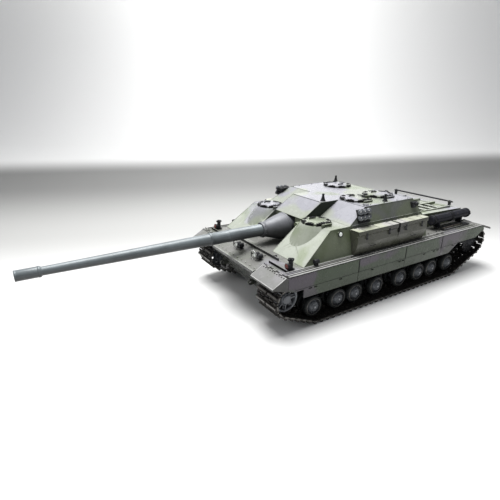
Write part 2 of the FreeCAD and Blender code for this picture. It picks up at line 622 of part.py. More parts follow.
def smoke_discharger():
    """Left group of six tubes in two rows on a bracket."""
    wall = prism_y([(91.4, ROOF_Z - 2.0), (99.6, 131), (101, 131), (94.5, ROOF_Z - 2.0)], 54, 78)
    way = Vector(0.74, -0.56, 0.37)
    tubes = []
    for row, z in enumerate((136.5, 145.0)):
        for i in range(3):
            start = Vector(97.0 - 1.6 * row, 58.0 + 8.2 * i, z)
            tube = Part.makeCylinder(3.9, 12.0, start, way)
            tubes.append(tube.cut(Part.makeCylinder(3.0, 7.0, start + way * 6.0, way)))
    group = fuse(wall, *tubes)
    return group.cut(prism_y([(80, 120), (101.4, 125), (100.05, SHELF_Z), (91.05, ROOF_Z), (80, 160)],
                             40, 90))


def lamp(x, z, guard_r):
    """One lamp on a bracket, with a flat six-sided guard frame if it has a radius."""
    body = fuse(rod_y(x, z, 3.8, -86, -80), rod_y(x, z, 3.2, -87.2, -86),
                box(x - 1.5, x + 1.5, -84, -81, 80, z))
    if not guard_r:
        return body
    corners = []
    inner = []
    for i in range(6):
        a = math.radians(60 * i + 30)
        corners.append((x + guard_r * math.cos(a), z + guard_r * math.sin(a)))
        inner.append((x + (guard_r - 1.1) * math.cos(a), z + (guard_r - 1.1) * math.sin(a)))
    frame = prism_y(corners, -89.0, -88.0).cut(prism_y(inner, -90.0, -87.0))
    stays = [box(x + s * guard_r * 0.86 - 0.6, x + s * guard_r * 0.86 + 0.6, -89.0, -81.0, z - 0.6, z + 0.6)
             for s in (-1, 1)]
    legs = [box(x + s * guard_r * 0.86 - 0.6, x + s * guard_r * 0.86 + 0.6, -82.2, -81.0, 80, z + 0.6)
            for s in (-1, 1)]
    return fuse(body, frame, *stays, *legs)


def headlamps():
    """Guarded lamps on the glacis and marker lamps on the track guards."""
    glacis = prism_x([(NOSE_Y, 78.5), (-68, DECK_Z), (-68, 70), (NOSE_Y, 70)], -70, 70)
    pieces = [fuse(*[lamp(x, 89.5, guard) for x, guard in LAMPS]).cut(glacis)]
    marker = fuse(box(101.5, 108.5, -76, -68, DECK_Z, 90), rod_z(105, -72, 3.0, 90, 101),
                  box(100.5, 109.5, -73.5, -70.5, 101, 103.5), box(103.5, 106.5, -76.5, -67.5, 101, 103.5),
                  rod_y(105.5, 93.5, 4.2, -78.5, -72))
    side = fuse(box(112.0, 116.0, -38, -33, DECK_Z, 92).cut(box(111, 117, -40, -30, 80, DECK_Z + 0.8)),
                rod_y(114.0, 95.0, 3.0, -39.5, -32))
    pairs = [s for p in (marker, side) for s in (p, mirrored(p))]
    return Part.makeCompound(pieces + pairs)


def roof_fittings():
    """Lifting cones on the roof."""
    cones = []
    for x, y in ((29, 46), (82, 128), (-85, 180)):
        cone = Part.makeCone(3.4, 1.3, 9.0, Vector(x, y, ROOF_Z + 1.0))
        cones.append(fuse(rod_z(x, y, 4.0, ROOF_Z, ROOF_Z + 1.2), cone,
                          rod_z(x, y, 1.8, ROOF_Z + 9.4, ROOF_Z + 11.4)))
    return Part.makeCompound(cones)


def deck_tools():
    """Tow cable with end loops and hand tools on the rear of the track guards."""
    cable = rod_x(366, 86.5, 1.6, -66, 66)
    loops = [Part.makeTorus(3.2, 1.2, Vector(x, 366, 89.2), Vector(0, 1, 0)) for x in (-64, 64)]
    hooks = [box(x - 2, x + 2, HULL_REAR, 366, 84, 88) for x in (-50, 0, 50)]
    shovel = fuse(rod_y(106, 91.3, 1.1, 262, 318), box(102, 110, 316, 328, 90.2, 91.6))
    bar = rod_y(101, 91.2, 1.0, 262, 326)
    return Part.makeCompound([fuse(cable, *loops, *hooks), shovel, bar])


# ---- gun ----
def barrel():
    """Long tube with muzzle collar, stepped sleeves and the breech block."""
    tube = turn_y([(FRONT_Y, 0), (FRONT_Y, 6.6), (FRONT_Y + 27, 6.6), (FRONT_Y + 28.5, 5.4),
                   (-141, 8.6), (-141, 9.4), (-137.5, 9.4), (-136, 9.0), (-110, 9.0), (-110, 9.3),
                   (-60, 9.3), (14, 9.3), (14, 13.0), (40, 13.0), (40, 0)])
    bore = rod_y(0, GUN_Z, 3.75, FRONT_Y - 1, -60)
    block = box(-12, 12, 24, 44, GUN_Z - 12, GUN_Z + 12)
    return fuse(tube, block).cut(bore)


def mantlet():
    """Conical gun shield with its neck, carrier plate and trunnion arms."""
    shield = turn_y([(-52.5, 0), (-52.5, 11.2), (-51, 11.7), (-46, 11.7), (-46, 11.2), (-44, 12.4),
                     (-22, 19.0), (-10, 21.5), (-6.5, 20.5), (-3.0, 13.2), (12.6, 13.2), (12.6, 0)])
    arms = [box(-20.0, 20.0, 9.6, 12.6, GUN_Z - 9, GUN_Z + 9)]
    for side in (-1, 1):
        x0 = 15.5 if side > 0 else -20.0
        arms.append(box(x0, x0 + 4.5, 11, 35, GUN_Z - 6, GUN_Z + 6))
        pin0 = 19.0 if side > 0 else -27.0
        arms.append(rod_x(TRUNNION_Y, GUN_Z, STUB_R, pin0, pin0 + 8.0))
    return fuse(shield, *arms).cut(rod_y(0, GUN_Z, 9.3 + FIT, -60, 20))


def gun_cradle():
    """Yoke that swings the gun left and right on the hull bridge."""
    disc = rod_z(0, TRUNNION_Y, 20.0, 84.4, 88.0)
    pin = rod_z(0, TRUNNION_Y, 5.0, 76.0, 85.0)
    cheeks = []
    for x0 in (22.0, -27.0):
        cheeks.append(box(x0, x0 + 5.0, 22, 38, 84.4, 119.0))
    base = box(-27, 27, 22, 38, 84.4, 88.0)
    yoke = fuse(disc, pin, base, *cheeks)
    return yoke.cut(rod_x(TRUNNION_Y, GUN_Z, STUB_R + FIT, -30, 30))


# ---- inside ----
def drive_units():
    """Left motor and gearbox; the sprocket shaft runs in its bore."""
    y, z = SPROCKET
    case = box(40, 60, 300, 358, HULL_FLOOR + PLATE, 74)
    case = case.common(prism_x([(290, 25), (335, 25), (357.5, 60), (357.5, 80), (290, 80)], 30, 62))
    motor = fuse(rod_x(316, 52, 11.5, 8, 40), rod_x(316, 52, 5.0, 5, 8))
    return fuse(case, motor).cut(rod_x(y, z, AXLE_R + FIT, 45, 61))


def battery():
    pack = box(-23, 23, 60, 180, HULL_FLOOR + PLATE, 50)
    lead = rod_y(10, 44, 2.0, 180, 192)
    return fuse(pack, lead)


def control_board():
    board = box(-30, 30, -44, 44, 30, 31.6)
    chips = [box(-20, 0, -30, -8, 31, 35), box(6, 24, -34, -14, 31, 33.4), box(-22, 22, 8, 20, 31, 38),
             box(-20, -6, 24, 35, 31, 36)]
    return fuse(board, *chips)


def screws():
    """Identical pan-head screws: four in the board, four under the hull floor."""
    pieces = []
    for x in (-24, 24):
        for y in (-38, 38):
            pieces.append(rod_z(x, y, 2.4, 31.6, 33.2))
        for y in (40, 200):
            pieces.append(rod_z(x, y, 2.4, HULL_FLOOR - 1.6, HULL_FLOOR))
    return Part.makeCompound(pieces)


def main():
    os.makedirs("parts", exist_ok=True)
    save("lower_hull", lower_hull())
    save("casemate", casemate())
    save("engine_deck", engine_deck())
    save("fenders", both(fender()))
    save("skirts", both(skirt()))
    save("suspension_brackets", suspension_brackets())
    save("return_rollers", return_rollers())
    save("stowage_bins", both(stowage_bin()))
    save("exhausts", both(exhaust()))
    save("smoke_dischargers", both(smoke_discharger()))
    save("headlamps", headlamps())
    save("roof_fittings", roof_fittings())
    save("deck_tools", deck_tools())
    save("gun_barrel", barrel())
    save("gun_mantlet", mantlet())
    save("gun_cradle", gun_cradle())
    save("drive_units", both(drive_units()))
    save("battery", battery())
    save("battery_door", battery_door())
    save("control_board", control_board())
    save("screws", screws())
    save("hatch_left", hatch_lid(HATCH_X, HATCH_Y, HATCH_SEAT, FRONT_HATCH_R, 1))
    save("hatch_right", hatch_lid(-HATCH_X, HATCH_Y, HATCH_SEAT, FRONT_HATCH_R, 1))
    for name, x, y, side in ROOF_HATCHES:
        save(name, roof_lid(name, x, y, side))
    loop = track()
    guard = mudguard()
    guide = idler()
    drive = sprocket()
    for side, place in (("left", lambda shape: shape), ("right", mirrored)):
        save("%s_track" % side, place(loop))
        save("%s_mudguard" % side, place(guard))
        save("%s_idler" % side, place(guide))
        save("%s_sprocket" % side, place(drive))
        for number, y in enumerate(BOGIE_Y, 1):
            save("%s_bogie_%d" % (side, number), place(bogie(y)))
            for offset, end in ((-1, -BOGIE_HALF), (0, BOGIE_HALF)):
                wheel = place(road_wheel(y + end))
                save("%s_wheel_%d" % (side, 2 * number + offset), wheel)


main()
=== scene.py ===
import math

import bmesh
import bpy
from mathutils import Matrix, Vector


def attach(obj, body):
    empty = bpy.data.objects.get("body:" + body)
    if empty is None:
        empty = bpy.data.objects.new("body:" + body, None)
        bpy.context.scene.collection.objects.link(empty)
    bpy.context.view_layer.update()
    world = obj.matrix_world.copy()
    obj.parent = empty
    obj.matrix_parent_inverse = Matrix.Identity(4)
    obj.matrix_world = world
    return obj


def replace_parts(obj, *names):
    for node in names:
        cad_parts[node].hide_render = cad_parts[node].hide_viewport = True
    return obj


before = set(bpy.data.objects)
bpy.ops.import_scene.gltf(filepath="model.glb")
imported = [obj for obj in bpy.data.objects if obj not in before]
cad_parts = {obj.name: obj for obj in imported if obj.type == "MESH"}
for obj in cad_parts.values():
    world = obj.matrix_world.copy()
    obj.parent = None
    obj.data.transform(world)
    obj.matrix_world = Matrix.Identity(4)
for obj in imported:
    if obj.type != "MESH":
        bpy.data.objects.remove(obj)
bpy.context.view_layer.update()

# ---- sizes, mm
MM = 0.001
SIDES = (("left", 1), ("right", -1))

# Half the width over the skirts.
HALF = 124.5

# Inner face, outer face and middle of the left track.
TRACK_IN, TRACK_OUT, TRACK_MID = 73.8, 121.8, 97.8

# Links of one track, and the part of a link by which the first is moved on.
LINKS = 88
FIRST_LINK = 0.225

# Axles as (y, z). A rocker's axles lie BOGIE_HALF before and behind its middle.
IDLER = (-81.7, 48.0)
SPROCKET = (349.3, 55.0)
BOGIES = (-7.8, 75.2, 180.1, 263.0)
BOGIE_HALF = 23.75
WHEEL_Z = 22.4

# Heights of the track guards, the casemate's shoulder and roof, and the gun's axis.
DECK = 88.0
SHOULDER = 129
ROOF = 151.5
GUN_Z = 111.5

# Front end of the barrel along Y.
MUZZLE = -385.5

# Half widths of the casemate: raised centre block, roof, shoulder and foot.
BLOCK_X, ROOF_X, SHOULDER_X, FOOT_X = 36, 91, 100, 110

# Creases of the casemate from front to back.
FOOT_Y, SHOULDER_Y, RAMP_Y, ROOF_FRONT, ROOF_REAR = -53.7, -0.7, 36.3, 73.3, 183.3

# The engine deck falls towards the rear from its front edge.
ENGINE_FRONT = 209
ENGINE_FALL = 0.0284

# Axis of the exhaust silencers, and radius of their heat shields.
EXHAUST_X, EXHAUST_Z, EXHAUST_R = 92.5, 105, 8.3

# Lids as (node, x, y, z, radius, side that the hinge is on).
HATCHES = (("hatch_left", 61.0, 6.3, 130.4, 20.5, 1),
           ("hatch_right", -61.0, 6.3, 130.4, 20.5, 1),
           ("roof_hatch_right", -51.0, 152.0, ROOF, 23.5, -1),
           ("roof_hatch_front", 48.0, 98.5, ROOF, 23.5, 1),
           ("roof_hatch_rear", 46.0, 152.0, ROOF, 23.5, 1))

# Lamps as (x, radius of the hexagonal guard, 0 for none).
LAMPS = ((-15.5, 7.5), (-7.5, 0.0), (38.5, 8.6), (47.0, 0.0))

# Turn a prism along Z into one along X or along Y.
ALONG_X = Matrix(((0, 0, 1, 0), (1, 0, 0, 0), (0, 1, 0, 0), (0, 0, 0, 1)))
ALONG_Y = Matrix(((1, 0, 0, 0), (0, 0, 1, 0), (0, 1, 0, 0), (0, 0, 0, 1)))

# Directions that no bar or rope follows, to set out their sections.
OFF_AXIS = Vector((0.13, 0.31, 0.94))
OFF_ROPE = Vector((0.1, 0.2, 0.97))


# ---- materials
# Sockets of Blender's colour mix node: factor, two colours and the result.
MIX_FACTOR, MIX_FIRST, MIX_SECOND, MIX_RESULT = 0, 6, 7, 2
WHITE = (1, 1, 1, 1.0)

# Specular level, lower on camouflage and on paints rougher than MATT_FROM.
GLOSS = 0.5
MATT_GLOSS = 0.2
MATT_FROM = 0.49

# Shift of the noise that places the camouflage patches.
PATCH_SHIFT = (1.7, 0.6, 0.2)


class Shader:
    """Small builder for one procedural material."""

    def __init__(self, name, gloss=GLOSS):
        self.mat = bpy.data.materials.new(name)
        self.mat.use_nodes = True
        self.tree = self.mat.node_tree
        self.bsdf = self.tree.nodes["Principled BSDF"]
        self.bsdf.inputs["Specular IOR Level"].default_value = gloss
        self.coords = self.tree.nodes.new("ShaderNodeTexCoord").outputs["Object"]

    def link(self, source, target):
        """Connects a socket, or sets the target to a plain value."""
        if hasattr(source, "is_linked"):
            self.tree.links.new(source, target)
        else:
            target.default_value = source

    def stretched(self, scale, shift=(0, 0, 0)):
        """Object coordinates, scaled per axis and shifted."""
        node = self.tree.nodes.new("ShaderNodeMapping")
        self.link(self.coords, node.inputs["Vector"])
        node.inputs["Location"].default_value = shift
        node.inputs["Scale"].default_value = scale
        return node.outputs["Vector"]

    def noise(self, scale, detail=3.0, rough=0.5, low=0.0, high=1.0, vector=None):
        """Noise with the band from low to high spread over 0 to 1."""
        node = self.tree.nodes.new("ShaderNodeTexNoise")
        self.link(vector or self.coords, node.inputs["Vector"])
        node.inputs["Scale"].default_value = scale
        node.inputs["Detail"].default_value = detail
        node.inputs["Roughness"].default_value = rough
        return self.fit(node.outputs["Fac"], low, high)

    def fit(self, value, low, high, out_low=0.0, out_high=1.0):
        """Soft step from out_low to out_high between low and high."""
        node = self.tree.nodes.new("ShaderNodeMapRange")
        node.interpolation_type = "SMOOTHSTEP"
        self.link(value, node.inputs["Value"])
        node.inputs["From Min"].default_value = low
        node.inputs["From Max"].default_value = high
        node.inputs["To Min"].default_value = out_low
        node.inputs["To Max"].default_value = out_high
        return node.outputs["Result"]

    def mix(self, factor, first, second, mode="MIX"):
        """Blends two colours."""
        node = self.tree.nodes.new("ShaderNodeMix")
        node.data_type = "RGBA"
        node.blend_type = mode
        self.link(factor, node.inputs[MIX_FACTOR])
        self.link(first, node.inputs[MIX_FIRST])
        self.link(second, node.inputs[MIX_SECOND])
        return node.outputs[MIX_RESULT]

    def times(self, first, second):
        """Product of two values."""
        node = self.tree.nodes.new("ShaderNodeMath")
        node.operation = "MULTIPLY"
        self.link(first, node.inputs[0])
        self.link(second, node.inputs[1])
        return node.outputs[0]

    def plus(self, first, second):
        """Sum of two values."""
        out = self.times(first, 1.0)
        node = out.node
        node.operation = "ADD"
        self.link(second, node.inputs[1])
        return out

    def height(self):
        """Height above the floor in metres."""
        node = self.tree.nodes.new("ShaderNodeSeparateXYZ")
        self.link(self.coords, node.inputs[0])
        return node.outputs["Z"]

    def toward(self, direction):
        """Distance along a direction in metres."""
        node = self.tree.nodes.new("ShaderNodeVectorMath")
        node.operation = "DOT_PRODUCT"
        self.link(self.coords, node.inputs[0])
        node.inputs[1].default_value = direction
        return node.outputs["Value"]

    def facing_up(self, low, high):
        """0 on steep faces, 1 on faces that look up."""
        node = self.tree.nodes.new("ShaderNodeTexCoord")
        split = self.tree.nodes.new("ShaderNodeSeparateXYZ")
        self.link(node.outputs["Normal"], split.inputs[0])
        return self.fit(split.outputs["Z"], low, high)

    def bump(self, value, strength, distance=0.0003):
        """Fine relief on the surface."""
        node = self.tree.nodes.new("ShaderNodeBump")
        node.inputs["Strength"].default_value = strength
        node.inputs["Distance"].default_value = distance
        self.link(value, node.inputs["Height"])
        self.link(node.outputs["Normal"], self.bsdf.inputs["Normal"])

    def done(self, colour, rough, metal=0.0):
        """Finishes the material and returns it."""
        self.link(colour, self.bsdf.inputs["Base Color"])
        self.link(rough, self.bsdf.inputs["Roughness"])
        self.bsdf.inputs["Metallic"].default_value = metal
        return self.mat


def rgb(r, g, b):
    """Linear colour with full alpha."""
    return (r, g, b, 1.0)


def darker(colour, share):
    """Colour multiplied by a share."""
    return tuple(c * share for c in colour[:3]) + (1.0,)


def camo(name, green, violet, shade, painted_side_shade, violet_from=0.130):
    """Soft camouflage: more violet higher up, darker low down, with painted shade on steep faces and on
    top.
    """
    s = Shader(name, MATT_GLOSS)
    high = s.fit(s.height(), violet_from, violet_from + 0.018, 0.0, 0.15)
    place = s.stretched((1, 1, 1), PATCH_SHIFT)
    patches = s.fit(s.plus(s.noise(12.0, 1.5, 0.4, vector=place), high), 0.53, 0.62)
    body = s.mix(patches, green, violet)
    body = s.mix(s.times(s.noise(19.0, 2.0, 0.5, 0.52, 0.66), 0.6), body, shade)
    # Painted shade: steep faces are multiplied by the side shade colour.
    steep = s.mix(s.facing_up(0.3, 0.82), rgb(*painted_side_shade), WHITE)
    body = s.mix(1.0, body, steep, "MULTIPLY")
    # Painted shade that tones down the highest, most brightly lit faces.
    body = s.mix(s.fit(s.height(), 0.120, 0.132, 0.0, 0.22), body, rgb(0.03, 0.03, 0.035))
    streaks = s.noise(1.0, 4.0, 0.6, 0.5, 0.75, s.stretched((260, 260, 18)))
    body = s.mix(s.times(streaks, 0.18), body, rgb(0.09, 0.09, 0.075))
    specks = s.noise(900.0, 2.0, 0.5, 0.62, 0.75)
    body = s.mix(s.times(specks, 0.15), body, rgb(0.55, 0.56, 0.5))
    body = s.mix(s.fit(s.height(), 0.045, 0.085, 0.5, 0.0), body, rgb(0.04, 0.045, 0.035))
    s.bump(s.noise(1400.0, 3.0, 0.6), 0.2)
    return s.done(body, s.noise(60.0, 3.0, 0.5, 0.0, 1.6))


def worn(name, base, light, rough, metal=0.0, grain=700.0, strength=0.3, wear=0.35, underside_shade=1.0):
    """Plain paint or metal with mottling, rubbed patches and fine grain, with painted shade on faces
    that look down.
    """
    s = Shader(name, MATT_GLOSS if rough > MATT_FROM else GLOSS)
    body = s.mix(s.noise(45.0, 4.0, 0.6, 0.35, 0.7), base, darker(base, 0.72))
    body = s.mix(s.times(s.noise(260.0, 5.0, 0.7, 0.55, 0.72), wear), body, light)
    if underside_shade < 1.0:
        # Painted shade on faces that look down.
        shadow = s.mix(s.facing_up(-0.5, 0.75), rgb(underside_shade, underside_shade, underside_shade), WHITE)
        body = s.mix(1.0, body, shadow, "MULTIPLY")
    s.bump(s.noise(grain, 3.0, 0.6), strength)
    return s.done(body, rough, metal)


def lens():
    """Ribbed lamp glass whose light-grey colour and faint glow paint in a bright glint."""
    s = Shader("lamp_lens_painted_glint")
    # Painted glint: the unlit lamp glass glows.
    s.bsdf.inputs["Emission Color"].default_value = rgb(0.9, 0.93, 0.9)
    s.bsdf.inputs["Emission Strength"].default_value = 0.12
    s.bump(s.noise(1.0, 1.0, 0.5, 0.4, 0.6, s.stretched((900, 10, 10))), 0.5)
    return s.done(s.mix(s.noise(300.0), rgb(0.75, 0.78, 0.72), rgb(0.55, 0.6, 0.58)), 0.12)


GREEN = rgb(0.365, 0.385, 0.335)
VIOLET = rgb(0.345, 0.345, 0.378)
SHADE = rgb(0.235, 0.275, 0.175)
# Painted shade multiplied onto the armour's steep faces.
SIDE_SHADE = (0.39, 0.42, 0.335)
ARMOUR = camo("camo_armour", GREEN, VIOLET, SHADE, SIDE_SHADE)
# The last colour given to each camo is the painted shade on its steep faces.
SHEET = camo("camo_sheet", rgb(0.15, 0.15, 0.14), rgb(0.19, 0.185, 0.20),
             rgb(0.11, 0.12, 0.095), (0.5, 0.5, 0.5))
SKIRT = camo("camo_skirt", rgb(0.054, 0.074, 0.046), rgb(0.092, 0.080, 0.098),
             rgb(0.032, 0.046, 0.024), (0.9, 0.9, 0.9), violet_from=0.064)
# A darker copy of the armour camo for the lower hull: painted shade on the glacis beneath the gun.
NOSE = camo("camo_nose", rgb(0.165, 0.165, 0.155), rgb(0.19, 0.19, 0.195),
            rgb(0.13, 0.14, 0.115), (0.18, 0.18, 0.18))
GUARD = camo("camo_guard", rgb(0.215, 0.215, 0.21), rgb(0.25, 0.245, 0.25),
             rgb(0.18, 0.185, 0.165), (0.3, 0.3, 0.3))
BINS = camo("camo_bins", rgb(0.46, 0.47, 0.38), rgb(0.45, 0.44, 0.42),
            rgb(0.30, 0.33, 0.22), (0.145, 0.145, 0.14))
# The gun and mantlet paints carry painted shade on their undersides.
GUN = worn("gun_paint", rgb(0.17, 0.195, 0.205), rgb(0.30, 0.33, 0.34),
           rough=0.40, metal=0.1, grain=500.0, strength=0.12, wear=0.2, underside_shade=0.12)
CAST = worn("cast_paint", rgb(0.165, 0.17, 0.185), rgb(0.26, 0.27, 0.30),
            rough=0.48, metal=0.1, grain=420.0, strength=0.4, wear=0.2, underside_shade=0.15)
DARK = worn("dark_metal", rgb(0.022, 0.023, 0.025), rgb(0.10, 0.10, 0.10), rough=0.5, metal=0.3)
WHEEL = worn("wheel_paint", rgb(0.024, 0.026, 0.029), rgb(0.10, 0.11, 0.12),
             rough=0.5, metal=0.1, grain=600.0, wear=0.4)
HUB = worn("hub_paint", rgb(0.105, 0.113, 0.125), rgb(0.26, 0.28, 0.30),
           rough=0.42, metal=0.1, grain=600.0, wear=0.5)
RUBBER = worn("tyre_rubber", rgb(0.024, 0.027, 0.027), rgb(0.075, 0.08, 0.078), rough=0.75)
# Painted shade for the sides of the centre block.
BLOCK_SIDE_SHADE = worn("block_side_painted_shade", rgb(0.022, 0.03, 0.02), rgb(0.06, 0.075, 0.05), rough=0.6)
LINK = worn("track_links", rgb(0.022, 0.020, 0.018), rgb(0.17, 0.155, 0.135),
            rough=0.5, metal=0.3, grain=500.0, strength=0.5, wear=0.5)
LINK_EDGE = worn("track_rubbed", rgb(0.11, 0.105, 0.095), rgb(0.32, 0.30, 0.27),
                 rough=0.4, metal=0.4, grain=500.0, wear=0.6)
# Rubbed wear and painted highlight on edges and ribs.
EDGE = worn("rubbed_edges_and_painted_highlights", rgb(0.50, 0.50, 0.49), rgb(0.72, 0.72, 0.70),
            rough=0.45, metal=0.1, grain=500.0, wear=0.6)
STEEL = worn("bare_steel", rgb(0.42, 0.43, 0.44), rgb(0.7, 0.7, 0.7), rough=0.35, metal=0.9)
SOOT = worn("exhaust_soot", rgb(0.022, 0.023, 0.030), rgb(0.09, 0.07, 0.06),
            rough=0.55, metal=0.2, grain=380.0, strength=0.6, wear=0.5)
WOOD = worn("tool_wood", rgb(0.065, 0.055, 0.045), rgb(0.14, 0.12, 0.10), rough=0.6)
RED = worn("red_lens", rgb(0.12, 0.03, 0.025), rgb(0.3, 0.10, 0.08), rough=0.25)
# Black for dark joints and loops, and painted shade in gaps, slots and holes.
BLACK = worn("black_gaps_and_painted_shadow", rgb(0.006, 0.006, 0.006), rgb(0.02, 0.02, 0.02), rough=0.9)
GLASS = worn("dark_glass", rgb(0.02, 0.022, 0.025), rgb(0.05, 0.05, 0.055), rough=0.08)
CELLS = worn("battery_wrap", rgb(0.03, 0.08, 0.25), rgb(0.1, 0.18, 0.4), rough=0.3)
BOARD = worn("circuit_board", rgb(0.02, 0.15, 0.05), rgb(0.3, 0.28, 0.1), rough=0.35)
LENS = lens()


# ---- mesh kit
def along(axis, at):
    """Matrix that takes local +Z to the given axis and the origin to a point in mm."""
    turn = Vector((0, 0, 1)).rotation_difference(Vector(axis)).to_matrix().to_4x4()
    return Matrix.Translation(Vector(at)) @ turn


class Kit:
    """Collects detailed forms in millimetres into one mesh object."""

    def __init__(self):
        self.bm = bmesh.new()
        self.mats = []
        self.current = 0

    def use(self, mat):
        """Picks the material for the forms that follow."""
        if mat not in self.mats:
            self.mats.append(mat)
        self.current = self.mats.index(mat)
        return self

    def faces(self, points, loops, matrix=None, smooth=False):
        """Adds points and the faces that join them."""
        verts = [self.bm.verts.new(matrix @ Vector(p) if matrix else Vector(p)) for p in points]
        for loop in loops:
            face = self.bm.faces.new([verts[i] for i in loop])
            face.material_index = self.current
            face.smooth = smooth
        return self

    def box(self, x0, x1, y0, y1, z0, z1, matrix=None, cut=0.0):
        """Block with its four upright edges chamfered by cut."""
        if cut:
            c = cut
            ring = [(x0 + c, y0), (x1 - c, y0), (x1, y0 + c), (x1, y1 - c),
                    (x1 - c, y1), (x0 + c, y1), (x0, y1 - c), (x0, y0 + c)]
        else:
            ring = [(x0, y0), (x1, y0), (x1, y1), (x0, y1)]
        return self.prism(ring, z0, z1, matrix, cut * 0.6)

    def prism(self, ring, z0, z1, matrix=None, edge=0.0):
        """Extruded outline in local XY with an optional small top edge chamfer."""
        n = len(ring)
        cx = sum(p[0] for p in ring) / n
        cy = sum(p[1] for p in ring) / n
        levels = [(z0, 0.0), (z1, 0.0)] if not edge else [(z0, 0.0), (z1 - edge, 0.0), (z1, edge)]
        points = []
        for z, inset in levels:
            for x, y in ring:
                size = max(math.hypot(x - cx, y - cy), 1e-6)
                points.append((x - (x - cx) / size * inset, y - (y - cy) / size * inset, z))
        loops = [tuple(reversed(range(n))), tuple(range(len(points) - n, len(points)))]
        for level in range(len(levels) - 1):
            a = level * n
            loops += [(a + i, a + (i + 1) % n, a + n + (i + 1) % n, a + n + i) for i in range(n)]
        return self.faces(points, loops, matrix)

    def lathe(self, profile, matrix=None, segments=32, mats=None):
        """Turns (radius, height) pairs about local Z. mats picks a material per band."""
        points = []
        loops = []
        start = []
        for radius, z in profile:
            start.append(len(points))
            if radius < 1e-6:
                points.append((0, 0, z))
            else:
                for i in range(segments):
                    a = 2 * math.pi * i / segments
                    points.append((radius * math.cos(a), radius * math.sin(a), z))
        verts = [self.bm.verts.new(matrix @ Vector(p) if matrix else Vector(p)) for p in points]
        for k in range(len(profile) - 1):
            a, b = start[k], start[k + 1]
            for i in range(segments):
                j = (i + 1) % segments
                if profile[k][0] < 1e-6:
                    loop = (a, b + j, b + i)
                elif profile[k + 1][0] < 1e-6:
                    loop = (a + i, a + j, b)
                else:
                    loop = (a + i, a + j, b + j, b + i)
                loops.append((loop, k))
        for loop, k in loops:
            face = self.bm.faces.new([verts[i] for i in loop])
            face.smooth = True
            if mats:
                self.use(mats[k])
            face.material_index = self.current
        return self

    def bolt(self, at, axis=(0, 0, 1), radius=0.9, tall=0.7):
        """Hexagon bolt head on a thin washer."""
        m = along(axis, at)
        self.lathe([(0, 0), (radius * 1.35, 0), (radius * 1.35, 0.18), (0, 0.18)], m, 12)
        corners = [math.pi / 3 * i for i in range(6)]
        ring = [(radius * math.cos(a), radius * math.sin(a)) for a in corners]
        return self.prism(ring, 0.1, tall, m, radius * 0.2)

    def pipe(self, path, radius, segments=8):
        """Round bar along a list of points, with closed ends."""
        points = [Vector(p) for p in path]
        rings = []
        for k, p in enumerate(points):
            ahead = points[min(k + 1, len(points) - 1)] - points[max(k - 1, 0)]
            ahead.normalize()
            side = ahead.cross(OFF_AXIS).normalized()
            over = side.cross(ahead).normalized()
            rings.append([self.bm.verts.new(p + side * radius * math.cos(2 * math.pi * i / segments)
                                            + over * radius * math.sin(2 * math.pi * i / segments))
                          for i in range(segments)])
        for a, b in zip(rings, rings[1:]):
            for i in range(segments):
                j = (i + 1) % segments
                face = self.bm.faces.new((a[i], a[j], b[j], b[i]))
                face.smooth = True
                face.material_index = self.current
        for ring in (rings[0], list(reversed(rings[-1]))):
            self.bm.faces.new(ring).material_index = self.current
        return self

    def rope(self, path, radius, pitch=5.0, strands=3):
        """Twisted strands that follow a polyline."""
        points = [Vector(p) for p in path]
        dense = []
        for a, b in zip(points, points[1:]):
            count = max(2, int((b - a).length / 0.9))
            dense += [a.lerp(b, i / count) for i in range(count)]
        dense.append(points[-1])
        for strand in range(strands):
            line = []
            run = 0.0
            for k, p in enumerate(dense):
                ahead = (dense[min(k + 1, len(dense) - 1)] - dense[max(k - 1, 0)]).normalized()
                side = ahead.cross(OFF_ROPE).normalized()
                over = side.cross(ahead)
                run += (p - dense[max(k - 1, 0)]).length
                a = 2 * math.pi * (run / pitch + strand / strands)
                line.append(p + (side * math.cos(a) + over * math.sin(a)) * radius * 0.5)
            self.pipe(line, radius * 0.55, 6)
        return self

    def mirrored(self):
        """Adds the mirror image of everything so far across X = 0."""
        geometry = list(self.bm.verts) + list(self.bm.edges) + list(self.bm.faces)
        copy = bmesh.ops.duplicate(self.bm, geom=geometry)["geom"]
        verts = [g for g in copy if isinstance(g, bmesh.types.BMVert)]
        flipped = [g for g in copy if isinstance(g, bmesh.types.BMFace)]
        for v in verts:
            v.co.x = -v.co.x
        bmesh.ops.reverse_faces(self.bm, faces=flipped)
        return self

    def mesh(self, name, flip=False):
        """Turns the forms into a mesh in metres, mirrored if flip is set."""
        bmesh.ops.scale(self.bm, vec=(MM, MM, MM), verts=self.bm.verts)
        if flip:
            for v in self.bm.verts:
                v.co.x = -v.co.x
            bmesh.ops.reverse_faces(self.bm, faces=self.bm.faces)
        bmesh.ops.recalc_face_normals(self.bm, faces=self.bm.faces)
        mesh = bpy.data.meshes.new(name)
        self.bm.to_mesh(mesh)
        self.bm.free()
        for mat in self.mats:
            mesh.materials.append(mat)
        return mesh

    def piece(self, name, body):
        """Makes the forms one object that rides on a body."""
        obj = bpy.data.objects.new(name, self.mesh(name))
        bpy.context.scene.collection.objects.link(obj)
        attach(obj, body)


def copy_piece(name, mesh, body, at=(0, 0, 0)):
    """Puts a shared mesh at a point in mm, riding on a body."""
    obj = bpy.data.objects.new(name, mesh)
    obj.location = Vector(at) * MM
    bpy.context.scene.collection.objects.link(obj)
    bpy.context.view_layer.update()
    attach(obj, body)
    return obj


# ---- CAD pieces
def dress(node, mat, bevel):
    """Gives a CAD node its paint and softly broken edges, bevel mm wide."""
    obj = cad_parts[node]
    obj.data.materials.clear()
    obj.data.materials.append(mat)
    weld = obj.modifiers.new("weld", "WELD")
    weld.merge_threshold = 0.00001
    edge = obj.modifiers.new("edge", "BEVEL")
    edge.width = bevel * MM
    edge.segments = 2
    edge.limit_method = "ANGLE"
    edge.angle_limit = math.radians(35)
    edge.harden_normals = True


